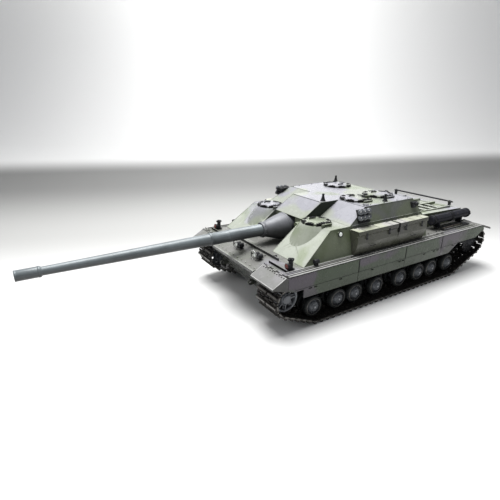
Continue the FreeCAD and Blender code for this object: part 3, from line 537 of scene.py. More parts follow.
def dress_cad():
    """Paints the CAD nodes that no detailed piece replaces."""
    plan = {ARMOUR: ("casemate", "engine_deck", "hatch_left", "hatch_right",
                     "roof_hatch_right", "roof_hatch_front", "roof_hatch_rear"),
            NOSE: ("lower_hull", "battery_door"),
            GUARD: ("left_mudguard", "right_mudguard"),
            SHEET: ("fenders",),
            SKIRT: ("skirts",),
            BINS: ("stowage_bins",),
            GUN: ("gun_barrel",),
            CAST: ("gun_mantlet",),
            DARK: ("smoke_dischargers", "headlamps", "roof_fittings", "deck_tools", "screws",
                   "gun_cradle"),
            SOOT: ("exhausts",),
            STEEL: ("drive_units",),
            CELLS: ("battery",),
            BOARD: ("control_board",),
            WHEEL: ("suspension_brackets", "return_rollers")}
    for mat, nodes in plan.items():
        for node in nodes:
            dress(node, mat, 0.25)
    for side, _ in SIDES:
        for number in range(1, 5):
            dress("%s_bogie_%d" % (side, number), WHEEL, 0.4)


# ---- track
def belt():
    """Track's inner line as (kind, length, start or centre, end or radius, normal angle)."""
    circles = ((IDLER, 20.0), ((BOGIES[0] - BOGIE_HALF, WHEEL_Z), 16.4),
               ((BOGIES[-1] + BOGIE_HALF, WHEEL_Z), 16.4), (SPROCKET, 22.5))
    lines = []
    for k in range(4):
        (y1, z1), r1 = circles[k]
        (y2, z2), r2 = circles[(k + 1) % 4]
        span = math.hypot(y2 - y1, z2 - z1)
        normal = math.atan2(z2 - z1, y2 - y1) - math.pi / 2 - math.asin((r2 - r1) / span)
        ny, nz = math.cos(normal), math.sin(normal)
        lines.append(((y1 + r1 * ny, z1 + r1 * nz), (y2 + r2 * ny, z2 + r2 * nz), normal))
    runs = []
    for k in range(4):
        start, end, normal = lines[k]
        runs.append(("line", math.dist(start, end), start, end, normal))
        centre, radius = circles[(k + 1) % 4]
        sweep = (lines[(k + 1) % 4][2] - normal) % (2 * math.pi)
        runs.append(("arc", radius * sweep, centre, radius, normal))
    return runs


def on_belt(runs, distance):
    """Point on the inner line and outward normal angle at a distance along it."""
    left = distance
    for kind, length, a, b, normal in runs:
        if left <= length:
            if kind == "line":
                t = left / length
                return (a[0] + (b[0] - a[0]) * t, a[1] + (b[1] - a[1]) * t), normal
            angle = normal + left / b
            return (a[0] + b * math.cos(angle), a[1] + b * math.sin(angle)), angle
        left -= length
    return on_belt(runs, distance - sum(r[1] for r in runs))


def link_forms(kit, pitch, matrix):
    """One link: three pads, a chamfered bar, hinge knuckles, pin heads and a guide horn."""
    half = pitch / 2
    wide = (TRACK_OUT - TRACK_IN) / 2
    kit.use(LINK)
    for x0, x1 in ((-wide, -wide + 14), (-wide + 16, wide - 16), (wide - 14, wide)):
        kit.box(x0, x1, -half + 1.6, half - 1.6, 0.5, 3.2, matrix, 0.5)
    bar = [(-2.6, 3.0), (2.6, 3.0), (1.7, 5.9), (-1.7, 5.9)]
    across = matrix @ ALONG_X
    for x0, x1 in ((-wide, -1.2), (1.2, wide)):
        kit.prism(bar, x0 + 0.2, x1 - 0.2, across)
        kit.use(LINK_EDGE).box(x0 + 0.6, x1 - 0.6, -1.2, 1.2, 5.8, 5.96, matrix)
        kit.use(LINK)
    kit.prism([(-1.6, 3.0), (1.6, 3.0), (1.6, 4.6), (-1.6, 4.6)], -1.4, 1.4, across)
    for index, x0 in enumerate((-wide + 0.6, -wide + 10.4, -wide + 20.2, wide - 18.4, wide - 8.6)):
        at = half if index % 2 else -half
        shift = matrix @ Matrix.Translation((x0, at, 1.9)) @ Matrix.Rotation(math.pi / 2, 4, "Y")
        kit.lathe([(0, 0), (1.5, 0), (1.7, 0.3), (1.7, 7.6), (1.5, 7.9), (0, 7.9)], shift, 8)
    kit.use(LINK_EDGE)
    for x0 in (-wide - 0.05, wide - 0.1):
        kit.box(x0, x0 + 0.15, -half + 2.4, half - 2.4, 0.9, 2.8, matrix)
    for x0 in (-wide - 0.4, wide - 0.3):
        shift = matrix @ Matrix.Translation((x0, half, 1.9)) @ Matrix.Rotation(math.pi / 2, 4, "Y")
        kit.lathe([(0, 0), (1.1, 0), (1.1, 0.7), (0, 0.7)], shift, 6)
    kit.use(LINK)
    horn = [(-2.6, 0.6), (2.6, 0.6), (1.2, -4.9), (-1.2, -4.9)]
    kit.prism(horn, -1.5, 1.5, across)


def build_tracks():
    """Lays the links round the belt and puts both chains in place of the CAD bands."""
    runs = belt()
    total = sum(r[1] for r in runs)
    pitch = total / LINKS
    kit = Kit()
    for i in range(LINKS):
        (y, z), angle = on_belt(runs, (i + FIRST_LINK) * pitch)
        outward = Vector((0, math.cos(angle), math.sin(angle)))
        forward = Vector((0, -outward.z, outward.y))
        place = Matrix.Translation((TRACK_MID, y, z)) @ Matrix(
            ((1, 0, 0, 0), (0, forward.y, outward.y, 0), (0, forward.z, outward.z, 0), (0, 0, 0, 1)))
        link_forms(kit, pitch, place)
    left = kit.mesh("track_links_left")
    right = left.copy()
    right.transform(Matrix.Diagonal((-1, 1, 1, 1)))
    right.flip_normals()
    for side, mesh in (("left", left), ("right", right)):
        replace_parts(copy_piece("track_chain_%s" % side, mesh, "hull"), "%s_track" % side)


# ---- wheels
def road_wheel_mesh(flip):
    """Twin disc with tyres, dished rim, hub cap and bolts, centred on its own axle."""
    kit = Kit()
    m = along((1, 0, 0), (0, 0, 0))
    profile = [(3.1, 83.4), (6.9, 83.4), (6.9, 85.4), (12.0, 85.5), (12.3, 85.4), (15.0, 85.4),
               (15.5, 86.0), (15.5, 92.8), (15.0, 93.4), (12.3, 93.4), (12.0, 92.6), (7.0, 92.4),
               (6.6, 93.0), (6.6, 102.6), (7.0, 103.2), (12.0, 103.0), (12.3, 102.2), (15.0, 102.2),
               (15.5, 102.8), (15.5, 109.6), (15.1, 110.2), (12.8, 110.2), (12.6, 110.9), (12.0, 110.9),
               (11.7, 110.2), (9.6, 107.9), (8.7, 107.7), (8.2, 108.4), (7.8, 110.6), (7.3, 111.0),
               (6.6, 111.0), (6.5, 112.4), (6.1, 112.7), (4.2, 112.7), (3.9, 112.3), (3.6, 112.7),
               (3.3, 113.5), (2.8, 113.7), (0, 113.7)]
    mats = []
    for (r0, _), (r1, _) in zip(profile, profile[1:]):
        rim = min(r0, r1) >= 12.25 and max(r0, r1) > 14 or min(r0, r1) > 12.7
        lip = 11.9 < min(r0, r1) and max(r0, r1) < 12.9
        mats.append(RUBBER if rim else LINK_EDGE if lip else HUB if max(r0, r1) < 8.8 else WHEEL)
    kit.lathe(profile, m, 48, mats)
    kit.use(HUB)
    for i in range(8):
        a = math.pi / 4 * i
        kit.bolt((112.6, 5.1 * math.cos(a), 5.1 * math.sin(a)), (1, 0, 0), 0.62, 0.7)
    for i in range(16):
        a = math.pi / 8 * i + 0.2
        kit.bolt((108.6, 10.4 * math.cos(a), 10.4 * math.sin(a)), (1, 0, 0), 0.45, 0.7)
    kit.use(STEEL).bolt((113.6, 0, 0), (1, 0, 0), 1.1, 0.5)
    return kit.mesh("road_wheel", flip)


def idler_mesh(flip):
    """Open spoked front wheel."""
    kit = Kit().use(HUB)
    m = along((1, 0, 0), (0, 0, 0))
    for x0 in (85.4, 102.2):
        kit.lathe([(16.4, x0), (19.1, x0), (19.5, x0 + 0.5), (19.5, x0 + 7.5), (19.1, x0 + 8),
                   (16.4, x0 + 8), (16.0, x0 + 6.5), (16.0, x0 + 1.5), (16.4, x0)], m, 48)
        for i in range(8):
            spoke = Matrix.Rotation(math.pi / 4 * i, 4, "X") @ Matrix.Translation((x0 + 4, 0, 0))
            kit.prism([(-1.2, -2.9), (1.2, -2.9), (1.2, 2.9), (-1.2, 2.9)], 6.5, 16.8, spoke)
            kit.prism([(-3.2, -0.7), (3.2, -0.7), (3.2, 0.7), (-3.2, 0.7)], 6.5, 16.8, spoke)
    kit.lathe([(4.1, 83.4), (8.0, 83.4), (8.8, 85.0), (8.8, 93.0), (7.6, 94.5), (7.6, 101), (8.8, 102.5),
               (8.8, 110.2), (8.0, 111.2), (6.6, 111.4), (6.4, 112.8), (5.8, 113.2), (0, 113.2)], m, 40)
    for i in range(6):
        a = math.pi / 3 * i
        kit.bolt((111.3, 7.5 * math.cos(a), 7.5 * math.sin(a)), (1, 0, 0), 0.6, 0.7)
    return kit.mesh("idler_wheel", flip)


def sprocket_mesh(flip):
    """Two toothed rings bolted to a waisted drum."""
    kit = Kit().use(DARK)
    m = along((1, 0, 0), (0, 0, 0))
    teeth = 13
    for x0 in (85.5, 107.5):
        for i in range(teeth):
            a = 2 * math.pi * (i + 0.52) / teeth
            tooth = Matrix.Rotation(a, 4, "X") @ ALONG_X
            kit.prism([(18.6, -3.3), (21.4, -2.6), (24.0, -1.1), (24.0, 1.1), (21.4, 2.6), (18.6, 3.3)],
                      x0, x0 + 2.6, tooth)
        kit.lathe([(14.6, x0), (19.6, x0), (19.8, x0 + 0.4), (19.8, x0 + 2.2), (19.6, x0 + 2.6),
                   (14.6, x0 + 2.6), (14.6, x0)], m, 52)
    kit.use(WHEEL)
    kit.lathe([(3.0, 80.9), (9.0, 81.0), (9.0, 84), (15.0, 85.2), (15.0, 88.6), (12.0, 91.5), (9.2, 94),
               (9.2, 102), (12.0, 104.5), (15.0, 107), (15.0, 110.0), (11.0, 109.2), (9.6, 109.4),
               (9.2, 112.2), (8.6, 112.6), (5.2, 112.8), (5.0, 113.8), (0, 114.0)], m, 44)
    for i in range(10):
        a = math.pi / 5 * i
        kit.bolt((109.9, 13.0 * math.cos(a), 13.0 * math.sin(a)), (1, 0, 0), 0.8, 1.0)
        kit.bolt((110.0, 16.9 * math.cos(a), 16.9 * math.sin(a)), (1, 0, 0), 0.6, 0.8)
    kit.lathe([(0, 46), (3.0, 46), (3.0, 81.2), (0, 81.2)], m, 20)
    return kit.mesh("drive_sprocket", flip)


def build_wheels():
    """Puts a detailed wheel on every axle in place of its CAD wheel."""
    for side, sign in SIDES:
        flip = sign < 0
        wheel = road_wheel_mesh(flip)
        for number, y in enumerate(BOGIES, 1):
            for offset, end in ((-1, -BOGIE_HALF), (0, BOGIE_HALF)):
                node = "%s_wheel_%d" % (side, 2 * number + offset)
                obj = copy_piece("tyre_%s" % node, wheel, node, (0, y + end, WHEEL_Z))
                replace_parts(obj, node)
        for mesh, node, (y, z) in ((idler_mesh(flip), "%s_idler" % side, IDLER),
                                   (sprocket_mesh(flip), "%s_sprocket" % side, SPROCKET)):
            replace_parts(copy_piece("spun_%s" % node, mesh, node, (0, y, z)), node)


# ---- hull details
def weld_bead(kit, a, b, radius=0.5):
    """Slightly wavy weld bead between two points."""
    a, b = Vector(a), Vector(b)
    count = max(3, int((b - a).length / 1.6))
    path = []
    for i in range(count + 1):
        p = a.lerp(b, i / count)
        ripple = Vector((0.12 * math.sin(i * 2.1), 0.12 * math.cos(i * 1.7), 0.1 * math.sin(i * 3.3)))
        path.append(p + ripple)
    kit.pipe(path, radius, 6)


def casemate_details():
    """Weld beads, side lamps and bolts, and painted shade on the sides of the centre block."""
    kit = Kit().use(ARMOUR)
    seam = DECK + 0.2
    block_y = SHOULDER_Y + 2.0
    for a, b in (((BLOCK_X, FOOT_Y, DECK), (BLOCK_X, SHOULDER_Y, SHOULDER)),
                 ((FOOT_X, FOOT_Y, DECK), (SHOULDER_X, SHOULDER_Y, SHOULDER)),
                 ((BLOCK_X, RAMP_Y, SHOULDER), (SHOULDER_X, RAMP_Y, SHOULDER)),
                 ((ROOF_X, ROOF_FRONT, ROOF), (BLOCK_X, ROOF_FRONT, ROOF)),
                 ((BLOCK_X, block_y, SHOULDER), (BLOCK_X, RAMP_Y, ROOF)),
                 ((SHOULDER_X, SHOULDER_Y, SHOULDER), (SHOULDER_X, RAMP_Y, SHOULDER)),
                 ((SHOULDER_X, RAMP_Y, SHOULDER), (ROOF_X, ROOF_FRONT, ROOF)),
                 ((ROOF_X, ROOF_FRONT, ROOF), (ROOF_X, ROOF_REAR, ROOF)),
                 ((ROOF_X, ROOF_REAR, ROOF), (106, 208.7, 112)),
                 ((SHOULDER_X, RAMP_Y, SHOULDER), (SHOULDER_X, 200, SHOULDER)),
                 ((BLOCK_X, FOOT_Y, seam), (FOOT_X, FOOT_Y, seam)),
                 ((FOOT_X, FOOT_Y, seam), (FOOT_X, 208, seam))):
        weld_bead(kit, a, b)
    side_lamp = along((0.97, 0, 0.24), (103.9, 15, 122.1))
    kit.use(DARK).lathe([(0, 0), (4.3, 0), (4.3, 1.2), (3.9, 1.5), (3.4, 0.9), (0, 0.9)], side_lamp, 28)
    # Side lamp glass that glows: painted glint.
    kit.use(LENS).lathe([(0, 0.9), (3.2, 0.9), (2.4, 1.8), (0, 2.3)], side_lamp, 24)
    kit.use(DARK)
    for x, y in ((84, 188), (97, 185)):
        kit.bolt((x, y, 146), (0.6, 0.7, 0.4), 1.8, 1.6)
    kit.box(91, 99, 176, 186, 138, 147, None, 0.8)
    kit.lathe([(0, 0), (2.6, 0), (3.0, 1), (3.0, 6), (2.4, 7), (0, 7)],
              along((0.8, 0.5, 0.2), (96, 182, 143)), 18)
    block_side = [(4.0, 129.4), (35.6, 129.4), (71.0, 151.0), (36.6, 151.0), (4.0, 130.4)]
    # Dark sheet on the centre block's side: painted shade.
    kit.use(BLOCK_SIDE_SHADE).prism(block_side, BLOCK_X, BLOCK_X + 0.12, ALONG_X)
    kit.mirrored()
    kit.use(ARMOUR)
    weld_bead(kit, (-BLOCK_X, RAMP_Y, ROOF + 0.3), (BLOCK_X, RAMP_Y, ROOF + 0.3))
    weld_bead(kit, (-ROOF_X, ROOF_REAR, ROOF), (ROOF_X, ROOF_REAR, ROOF))
    weld_bead(kit, (-BLOCK_X, block_y, SHOULDER), (BLOCK_X, block_y, SHOULDER))
    kit.use(DARK)
    for i in range(12):
        a = math.radians(30 * i)
        kit.bolt((83 + 3.6 * math.cos(a), 84 + 3.6 * math.sin(a), ROOF + 1.3), (0, 0, 1), 0.35, 0.5)
    for y in (60, 90, 120, 150, 176):
        for x in (-87, 87):
            kit.bolt((x, y if y > 73 else 76, ROOF), (0, 0, 1), 0.8, 0.7)
    kit.piece("casemate_welds", "hull")


def hatch_details():
    """Black rim pads and rim walls painted as the shade in the lid's slots and beneath its edge, bolts,
    grab bar and hinge arms of each lid, and painted shadow round each seat.
    """
    seat_shadows = Kit().use(BLACK)
    for name, x, y, z, radius, side in HATCHES:
        kit = Kit()
        for i in range(8):
            a = math.radians(45 * i + 22.5)
            place = Matrix.Translation((x, y, 0)) @ Matrix.Rotation(a, 4, "Z")
            # Black pads in the lid's rim slots: painted shade.
            kit.use(BLACK).box(radius - 4.6, radius - 0.2, -5.4, 5.4, z + 2.3, z + 3.2, place, 0.3)
            kit.use(DARK).box(radius - 4.8, radius - 2.6, -1.3, 1.3, z + 3.1, z + 4.0, place, 0.3)
            # Black wall round the lid's rim: painted shadow beneath its edge.
            kit.use(BLACK).box(radius - 0.9, radius + 0.45, -6.4, 6.4, z + 1.3, z + 3.15, place)
            # Black blocks round the seat: painted shadow of the gap beneath the lid.
            seat_shadows.box(radius + 0.6, radius + 1.4, -6.6, 6.6, z + 0.05, z + 1.0, place)
        kit.use(ARMOUR)
        inner = radius - 5.4
        kit.lathe([(0, z + 2.8), (0, z + 3.3), (inner - 0.8, z + 3.3), (inner, z + 2.8)],
                  Matrix.Translation((x, y, 0)), 40)
        kit.use(DARK)
        hx = x - side * 9
        kit.pipe([(hx, y - 6, z + 2.9), (hx, y - 6, z + 4.6), (hx, y - 4.6, z + 5.2),
                  (hx, y + 4.6, z + 5.2), (hx, y + 6, z + 4.6), (hx, y + 6, z + 2.9)], 0.6)
        bolts = inner - 2
        for i in range(10):
            a = math.radians(36 * i + 9)
            kit.bolt((x + bolts * math.cos(a), y + bolts * math.sin(a), z + 3.2), (0, 0, 1), 0.5, 0.4)
        near, far = x + side * (radius - 8), x + side * (radius + 0.5)
        for y0 in (y - 3, y + 1):
            kit.box(near, far, y0, y0 + 2, z + 2.8, z + 4.0, None, 0.3)
        kit.piece("lid_fittings_%s" % name, name)
    seat_shadows.piece("hatch_seat_painted_shadows", "hull")


def front_details():
    """Glacis bolts, splash-rail gussets, headlamps with guards and cables, marker lamps."""
    kit = Kit().use(ARMOUR)
    weld_bead(kit, (-66, -68, 88.2), (66, -68, 88.2))
    weld_bead(kit, (-66, -106, 78.7), (66, -106, 78.7))
    for x in range(-60, 61, 12):
        kit.bolt((x, -101, 80.2), (0, -0.24, 0.97), 0.9, 0.8)
        kit.bolt((x, -60, 88), (0, 0, 1), 0.8, 0.7)
    for x in (-50, -30, -10, 10, 30, 50):
        gusset = Matrix.Translation((x, -67.6, DECK)) @ ALONG_X
        kit.prism([(0, 0), (4, 0), (0, 3.6)], -0.4, 0.4, gusset)
    for x, guard in LAMPS:
        face = along((0, -1, 0), (x, -87.1, 89.5))
        # Guarded lamps get the glowing glass: painted glint.
        kit.use(LENS if guard else GLASS).lathe([(3.1, 0.0), (2.8, 0.6), (1.7, 1.1), (0, 1.3)], face, 28)
        kit.use(DARK).lathe([(3.2, -0.3), (3.6, -0.1), (3.6, 0.5), (3.1, 0.6)], face, 28)
        kit.pipe([(x, -81, 89), (x - 2, -77, 88), (x - 2, -72, 87.9)], 0.5)
        if guard:
            reach = guard - 0.5
            corners = [math.radians(60 * i + 30) for i in range(7)]
            frame_bar = [(x + reach * math.cos(a), -89.1, 89.5 + reach * math.sin(a)) for a in corners]
            # Lamp guard in the bright edge paint: rubbed wear and painted highlight.
            kit.use(EDGE).pipe(frame_bar, 0.65, 6)
    for x in (-105.5, 105.5):
        marker = along((0, -1, 0), (x, -78.5, 93.5))
        kit.use(RED).lathe([(4.0, 0), (3.5, 1.2), (2.2, 2.2), (0, 2.6)], marker, 24)
        kit.use(DARK).lathe([(4.2, -0.2), (4.6, 0), (4.6, 0.7), (4.0, 0.9)], marker, 24)
        cap = Matrix.Translation((math.copysign(105, x), -72, 103.4))
        kit.lathe([(0, 0), (2.2, 0), (1.6, 1.2), (0, 1.4)], cap, 16)
    # Bright strip along the glacis's lower edge: rubbed wear and painted highlight.
    kit.use(EDGE).box(-66, 66, -107.0, -106.6, 78.2, 78.7)
    kit.piece("front_fittings", "hull")


def fender_details():
    """Bolt rows, panel gaps, loops, edges, a chain and tools on the guards and skirts, with painted
    shade in slots and beneath edges, and bright edges that are rubbed wear and painted highlight.
    """
    kit = Kit().use(SKIRT)
    for y in range(-84, 352, 9):
        kit.bolt((HALF - 0.05, y, 84.6), (1, 0, 0), 0.55, 0.5)
    for y in range(-78, 350, 26):
        kit.bolt((HALF - 0.05, y, 67.6), (1, 0, 0), 0.5, 0.45)
    # Black inlays behind the skirt's slots: painted shade.
    kit.use(BLACK)
    for y in (-52, -43, 3, 67, 129, 137, 190, 216, 226, 269):
        kit.box(HALF - 1.5, HALF - 0.9, y - 2.9, y + 2.9, 62.7, 64.3)
    for y in (30, 46, 134, 150, 228, 242):
        kit.pipe([(117.5, y - 2.4, DECK), (117.5, y - 2.4, DECK + 2.0),
                  (117.5, y + 2.4, DECK + 2.0), (117.5, y + 2.4, DECK)], 0.45)
    # Painted shadow beneath the fender's front edge.
    kit.box(70.2, 111.3, -83.7, -83.5, DECK + 0.2, DECK + 3.3)
    for y in (37.9, 141.5, 235.1):
        kit.box(HALF - 0.6, HALF + 0.12, y - 0.9, y + 0.9, 66.2, 86.0)
    # Bright strips on two ribs and along the skirt's top edge: rubbed wear and painted highlight.
    kit.use(EDGE)
    for x in (112.85, 120.85):
        kit.box(x - 0.5, x + 0.5, -88, 339.5, DECK + 0.7, DECK + 1.0)
    kit.box(HALF - 0.6, HALF + 0.12, -88.5, 354.5, DECK - 0.55, DECK + 0.2)
    # A black line near the skirt's foot, and a painted shadow line beneath its bright top edge.
    kit.use(BLACK).box(HALF - 0.3, HALF + 0.08, -78, 338, 65.7, 66.3)
    kit.box(HALF - 0.3, HALF + 0.08, -88.5, 354.5, DECK - 1.9, DECK - 1.3)
    kit.use(DARK)
    for y in (212, 222, 244, 252):
        kit.bolt((105, y, DECK), (0, 0, 1), 0.9, 0.9)
    kit.use(WOOD).pipe([(106, 261, 91.4), (106, 317, 91.4)], 1.25, 10)
    kit.use(DARK)
    for x0, x1, y0, y1 in ((102.0, 103.2, 257, 331), (111.2, 112.4, 257, 331),
                           (102, 112.4, 257, 258.4), (102, 112.4, 329.6, 331)):
        kit.box(x0, x1, y0, y1, DECK + 2.1, DECK + 3.4, None, 0.2)
    for y in (268, 290, 312):
        kit.box(99.5, 108, y - 1.2, y + 1.2, DECK + 1.8, DECK + 3.6, None, 0.4)
        kit.pipe([(100.5, y, 90.4), (100.5, y, 93.1), (107.2, y, 93.1), (107.2, y, 90.4)], 0.45)
    for i in range(26):
        y = 338 + 1.7 * i
        z = DECK + 1.0 if y < 355 else DECK + 1.0 - (y - 355) * 0.345
        quarter = Matrix.Rotation(math.pi / 2 * (i % 2), 4, "Y")
        turn = Matrix.Translation((88 + 0.9 * math.sin(i * 0.35), y, z)) @ quarter
        corners = [2 * math.pi * k / 8 for k in range(9)]
        ring = [turn @ Vector((0.9 * math.cos(a), 1.3 * math.sin(a), 0)) for a in corners]
        kit.pipe(ring, 0.32, 5)
    kit.mirrored()
    kit.piece("guard_fittings", "hull")


def guard_edges():
    """Bright strips along the edges of the two hinged mudguards: rubbed wear and painted highlight."""
    for side, sign in SIDES:
        kit = Kit().use(EDGE)
        outer, inner = sign * (HALF - 0.3), sign * 70.8
        kit.pipe([(outer, -93.0, 87.9), (outer, -113.6, 76.1),
                  (inner, -113.6, 76.1), (inner, -93.0, 87.9)], 0.55, 6)
        kit.piece("guard_edge_%s" % side, "%s_mudguard" % side)


def bin_details():
    """Lids, hinges, straps and handles of the stowage bins, and painted shade in the gap between two
    bins.
    """
    kit = Kit().use(BINS)
    for y0, y1 in ((35.2, 121.2), (122.8, 191.8)):
        kit.prism([(103.5, 124.6), (119.2, 124.6), (119.7, 119.6), (120.3, 119.6), (120.0, 125.9),
                   (103.5, 125.9)], y0, y1, ALONG_Y)
        mid = (y0 + y1) / 2
        for y in (y0 + 14, mid, y1 - 14):
            kit.box(104, 119, y - 0.5, y + 0.5, 125.7, 126.3, None, 0.2)
    kit.use(DARK)
    for y in (52, 100, 138, 176):
        kit.box(119.9, 121.0, y - 1.8, y + 1.8, 112.5, 121.5, None, 0.3)
        kit.pipe([(121.0, y - 1.3, 114), (121.8, y - 1.3, 113.2),
                  (121.8, y + 1.3, 113.2), (121.0, y + 1.3, 114)], 0.35)
        kit.bolt((120.9, y, 119.5), (1, 0, 0), 0.5, 0.5)
    for y in (44, 80, 112, 131, 158, 184):
        hinge = along((0, 1, 0), (104.0, y, 126.1))
        kit.lathe([(0, -2.2), (0.8, -2.2), (0.8, 2.2), (0, 2.2)], hinge, 10)
    for y in (66, 158):
        kit.pipe([(119.2, y - 5, 102), (121.0, y - 5, 101.4),
                  (121.0, y + 5, 101.4), (119.2, y + 5, 102)], 0.45)
    # Black block between the bins: painted shade.
    kit.use(BLACK).box(101.0, 120.8, 120.6, 123.4, 112.0, 126.3)
    kit.mirrored()
    kit.piece("bin_fittings", "hull")


def engine_top(y, front, fall=ENGINE_FALL):
    """Height at y of a line that falls with the engine deck."""
    return front - (y - ENGINE_FRONT) * fall


def deck_details():
    """Angled louvre blades, frames, handles, filler caps and the rear tow rope."""
    kit = Kit().use(DARK)
    for x0, x1 in ((-66, -36), (-31, -3), (3, 31), (36, 66)):
        for row in range(5):
            y = 226 + row * 21
            for step in range(4):
                middle = ((x0 + x1) / 2, y + 1.2 + step * 2.6, engine_top(y, 111.0, 0.028))
                blade = Matrix.Translation(middle) @ Matrix.Rotation(math.radians(-38), 4, "X")
                reach = (x1 - x0) / 2 + 0.3
                kit.box(-reach, reach, -1.4, 1.4, -0.35, 0.35, blade)
    kit.use(ARMOUR)
    for x0, x1 in ((-67.5, -1.5), (1.5, 67.5)):
        for y in (223.5, 333):
            top = engine_top(y, 115)
            kit.box(x0, x1, y - 1.4, y + 1.4, top - 0.2, top + 1.0, None, 0.3)
        for x in (x0 + 0.6, x1 - 0.6):
            kit.box(x - 1.2, x + 1.2, 224, 334, 111.2, 115.2)
        for row in range(4):
            y = 241.5 + row * 21
            top = engine_top(y, 115)
            # Black walls beneath each raised cover: painted shade.
            kit.use(BLACK).box(x0 + 0.4, x1 - 0.4, y - 3.6, y + 3.6, top - 0.3, top + 1.7)
            kit.use(ARMOUR).box(x0, x1, y - 3.9, y + 3.9, top + 1.7, top + 2.3, None, 0.4)
    kit.use(DARK)
    for x in (-50, -18, 18, 50):
        for row in range(4):
            y = 241.5 + row * 21
            top = engine_top(y, 117.3)
            kit.pipe([(x - 4, y, top - 0.4), (x - 4, y, top + 1.6),
                      (x + 4, y, top + 1.6), (x + 4, y, top - 0.4)], 0.5)
            for dx in (-12, 12):
                kit.bolt((x + dx, y, top - 0.3), (0, 0, 1), 0.7, 0.7)
    for x in (-73, 73):
        kit.lathe([(0, 112), (4.2, 112), (4.2, 116.5), (3.6, 117.3), (1.2, 117.3), (0, 117.6)],
                  Matrix.Translation((x, 218, 0)), 24)
    for x in (-62, 62):
        kit.bolt((x, 340, 121.8), (0, 0, 1), 1.6, 1.4)
    kit.lathe([(1.55, -65.5), (1.55, 67.5)], along((1, 0, 0), (0, 340, 121)), 12)
    for x in (-62, 62):
        kit.box(x - 2.1, x + 2.1, 337.9, 342.1, 113, 121.5, None, 0.3)
    kit.use(STEEL).rope([(-60, 366.4, 86.4), (0, 366.4, 86.0), (60, 366.4, 86.4)], 1.7)
    kit.piece("deck_fittings", "hull")


def exhaust_details():
    """Heat shields perforated with black discs that paint the shade of their holes, and clamps round the
    silencers.
    """
    kit = Kit().use(SOOT)
    for y0, y1 in ((249, 292), (300, 342)):
        ring = []
        for i in range(11):
            a = math.radians(-10 + 20 * i)
            ring.append((EXHAUST_X + EXHAUST_R * math.cos(a), EXHAUST_Z + EXHAUST_R * math.sin(a)))
        for (xa, za), (xb, zb) in zip(ring, ring[1:]):
            strip = [(xa, y0, za), (xb, y0, zb), (xb, y1, zb), (xa, y1, za)]
            kit.faces(strip, [(0, 1, 2, 3)], None, True)
        # Black discs that stand for the perforations: painted shade.
        kit.use(BLACK)
        rows = int((y1 - y0) / 4)
        for i in range(1, 10, 2):
            a = math.radians(-10 + 20 * i + 10)
            for k in range(rows):
                p = (EXHAUST_X + 8.25 * math.cos(a), y0 + 3 + k * 4, EXHAUST_Z + 8.25 * math.sin(a))
                hole = along((math.cos(a), 0, math.sin(a)), p)
                kit.lathe([(0, 0), (0.8, 0), (0.8, 0.15), (0, 0.15)], hole, 8)
        kit.use(SOOT)
    kit.use(DARK)
    for y in (245, 296, 346):
        clamp = along((0, 1, 0), (EXHAUST_X, y, EXHAUST_Z))
        kit.lathe([(7.7, -1.6), (8.7, -1.6), (8.9, 0), (8.7, 1.6), (7.7, 1.6)], clamp, 28)
        kit.box(99.6, 102.2, y - 1.4, y + 1.4, 103.4, 106.6, None, 0.3)
        kit.bolt((102.0, y, 105), (1, 0, 0), 0.7, 0.7)
    kit.mirrored()
    kit.piece("exhaust_shields", "hull")


def discharger_details():
    """Rounded caps and rims of the smoke tubes."""
    kit = Kit()
    way = Vector((0.74, -0.56, 0.37)).normalized()
    for row, z in enumerate((136.5, 145.0)):
        for i in range(3):
            m = along(way, Vector((97.0 - 1.6 * row, 58.0 + 8.2 * i, z)) + way * 12.0)
            kit.use(HUB).lathe([(3.9, -1.6), (4.15, -1.2), (4.15, 0.1), (3.7, 0.9), (2.6, 1.6),
                                (1.2, 2.0), (0, 2.1)], m, 24)
            kit.use(DARK).lathe([(3.8, -6.4), (4.2, -6.2), (4.2, -5.2), (3.8, -5.0)], m, 24)
            # Bolt heads in the bright edge paint: rubbed wear and painted highlight.
            kit.use(EDGE).bolt(way * 2.0 + m.translation, way, 0.7, 0.4)
    kit.mirrored()
    kit.piece("smoke_tube_caps", "hull")


def roof_details():
    """Lifting cones on the roof and the sight's head on the front roof hatch."""
    kit = Kit().use(DARK)
    for x, y in ((29, 46), (82, 128), (-85, 180)):
        kit.lathe([(4.2, 0), (4.2, 0.9), (3.6, 1.4), (3.3, 1.8), (2.6, 4.4), (1.7, 7.6), (1.4, 9.0),
                   (2.0, 9.5), (2.0, 10.8), (1.4, 11.5), (0, 11.7)],
                  Matrix.Translation((x, y, ROOF)), 24)
    kit.piece("roof_cones", "hull")
    scope = Kit().use(DARK)
    scope.lathe([(2.4, 0), (3.4, 0), (3.4, 1.2), (3.0, 1.8), (0, 2.2)],
                Matrix.Translation((57, 110, ROOF + 8.0)), 24)
    scope.use(GLASS).box(53.2, 60.8, 106.2, 106.6, ROOF + 4.2, ROOF + 7.0)
    scope.piece("sight_head", "roof_hatch_front")


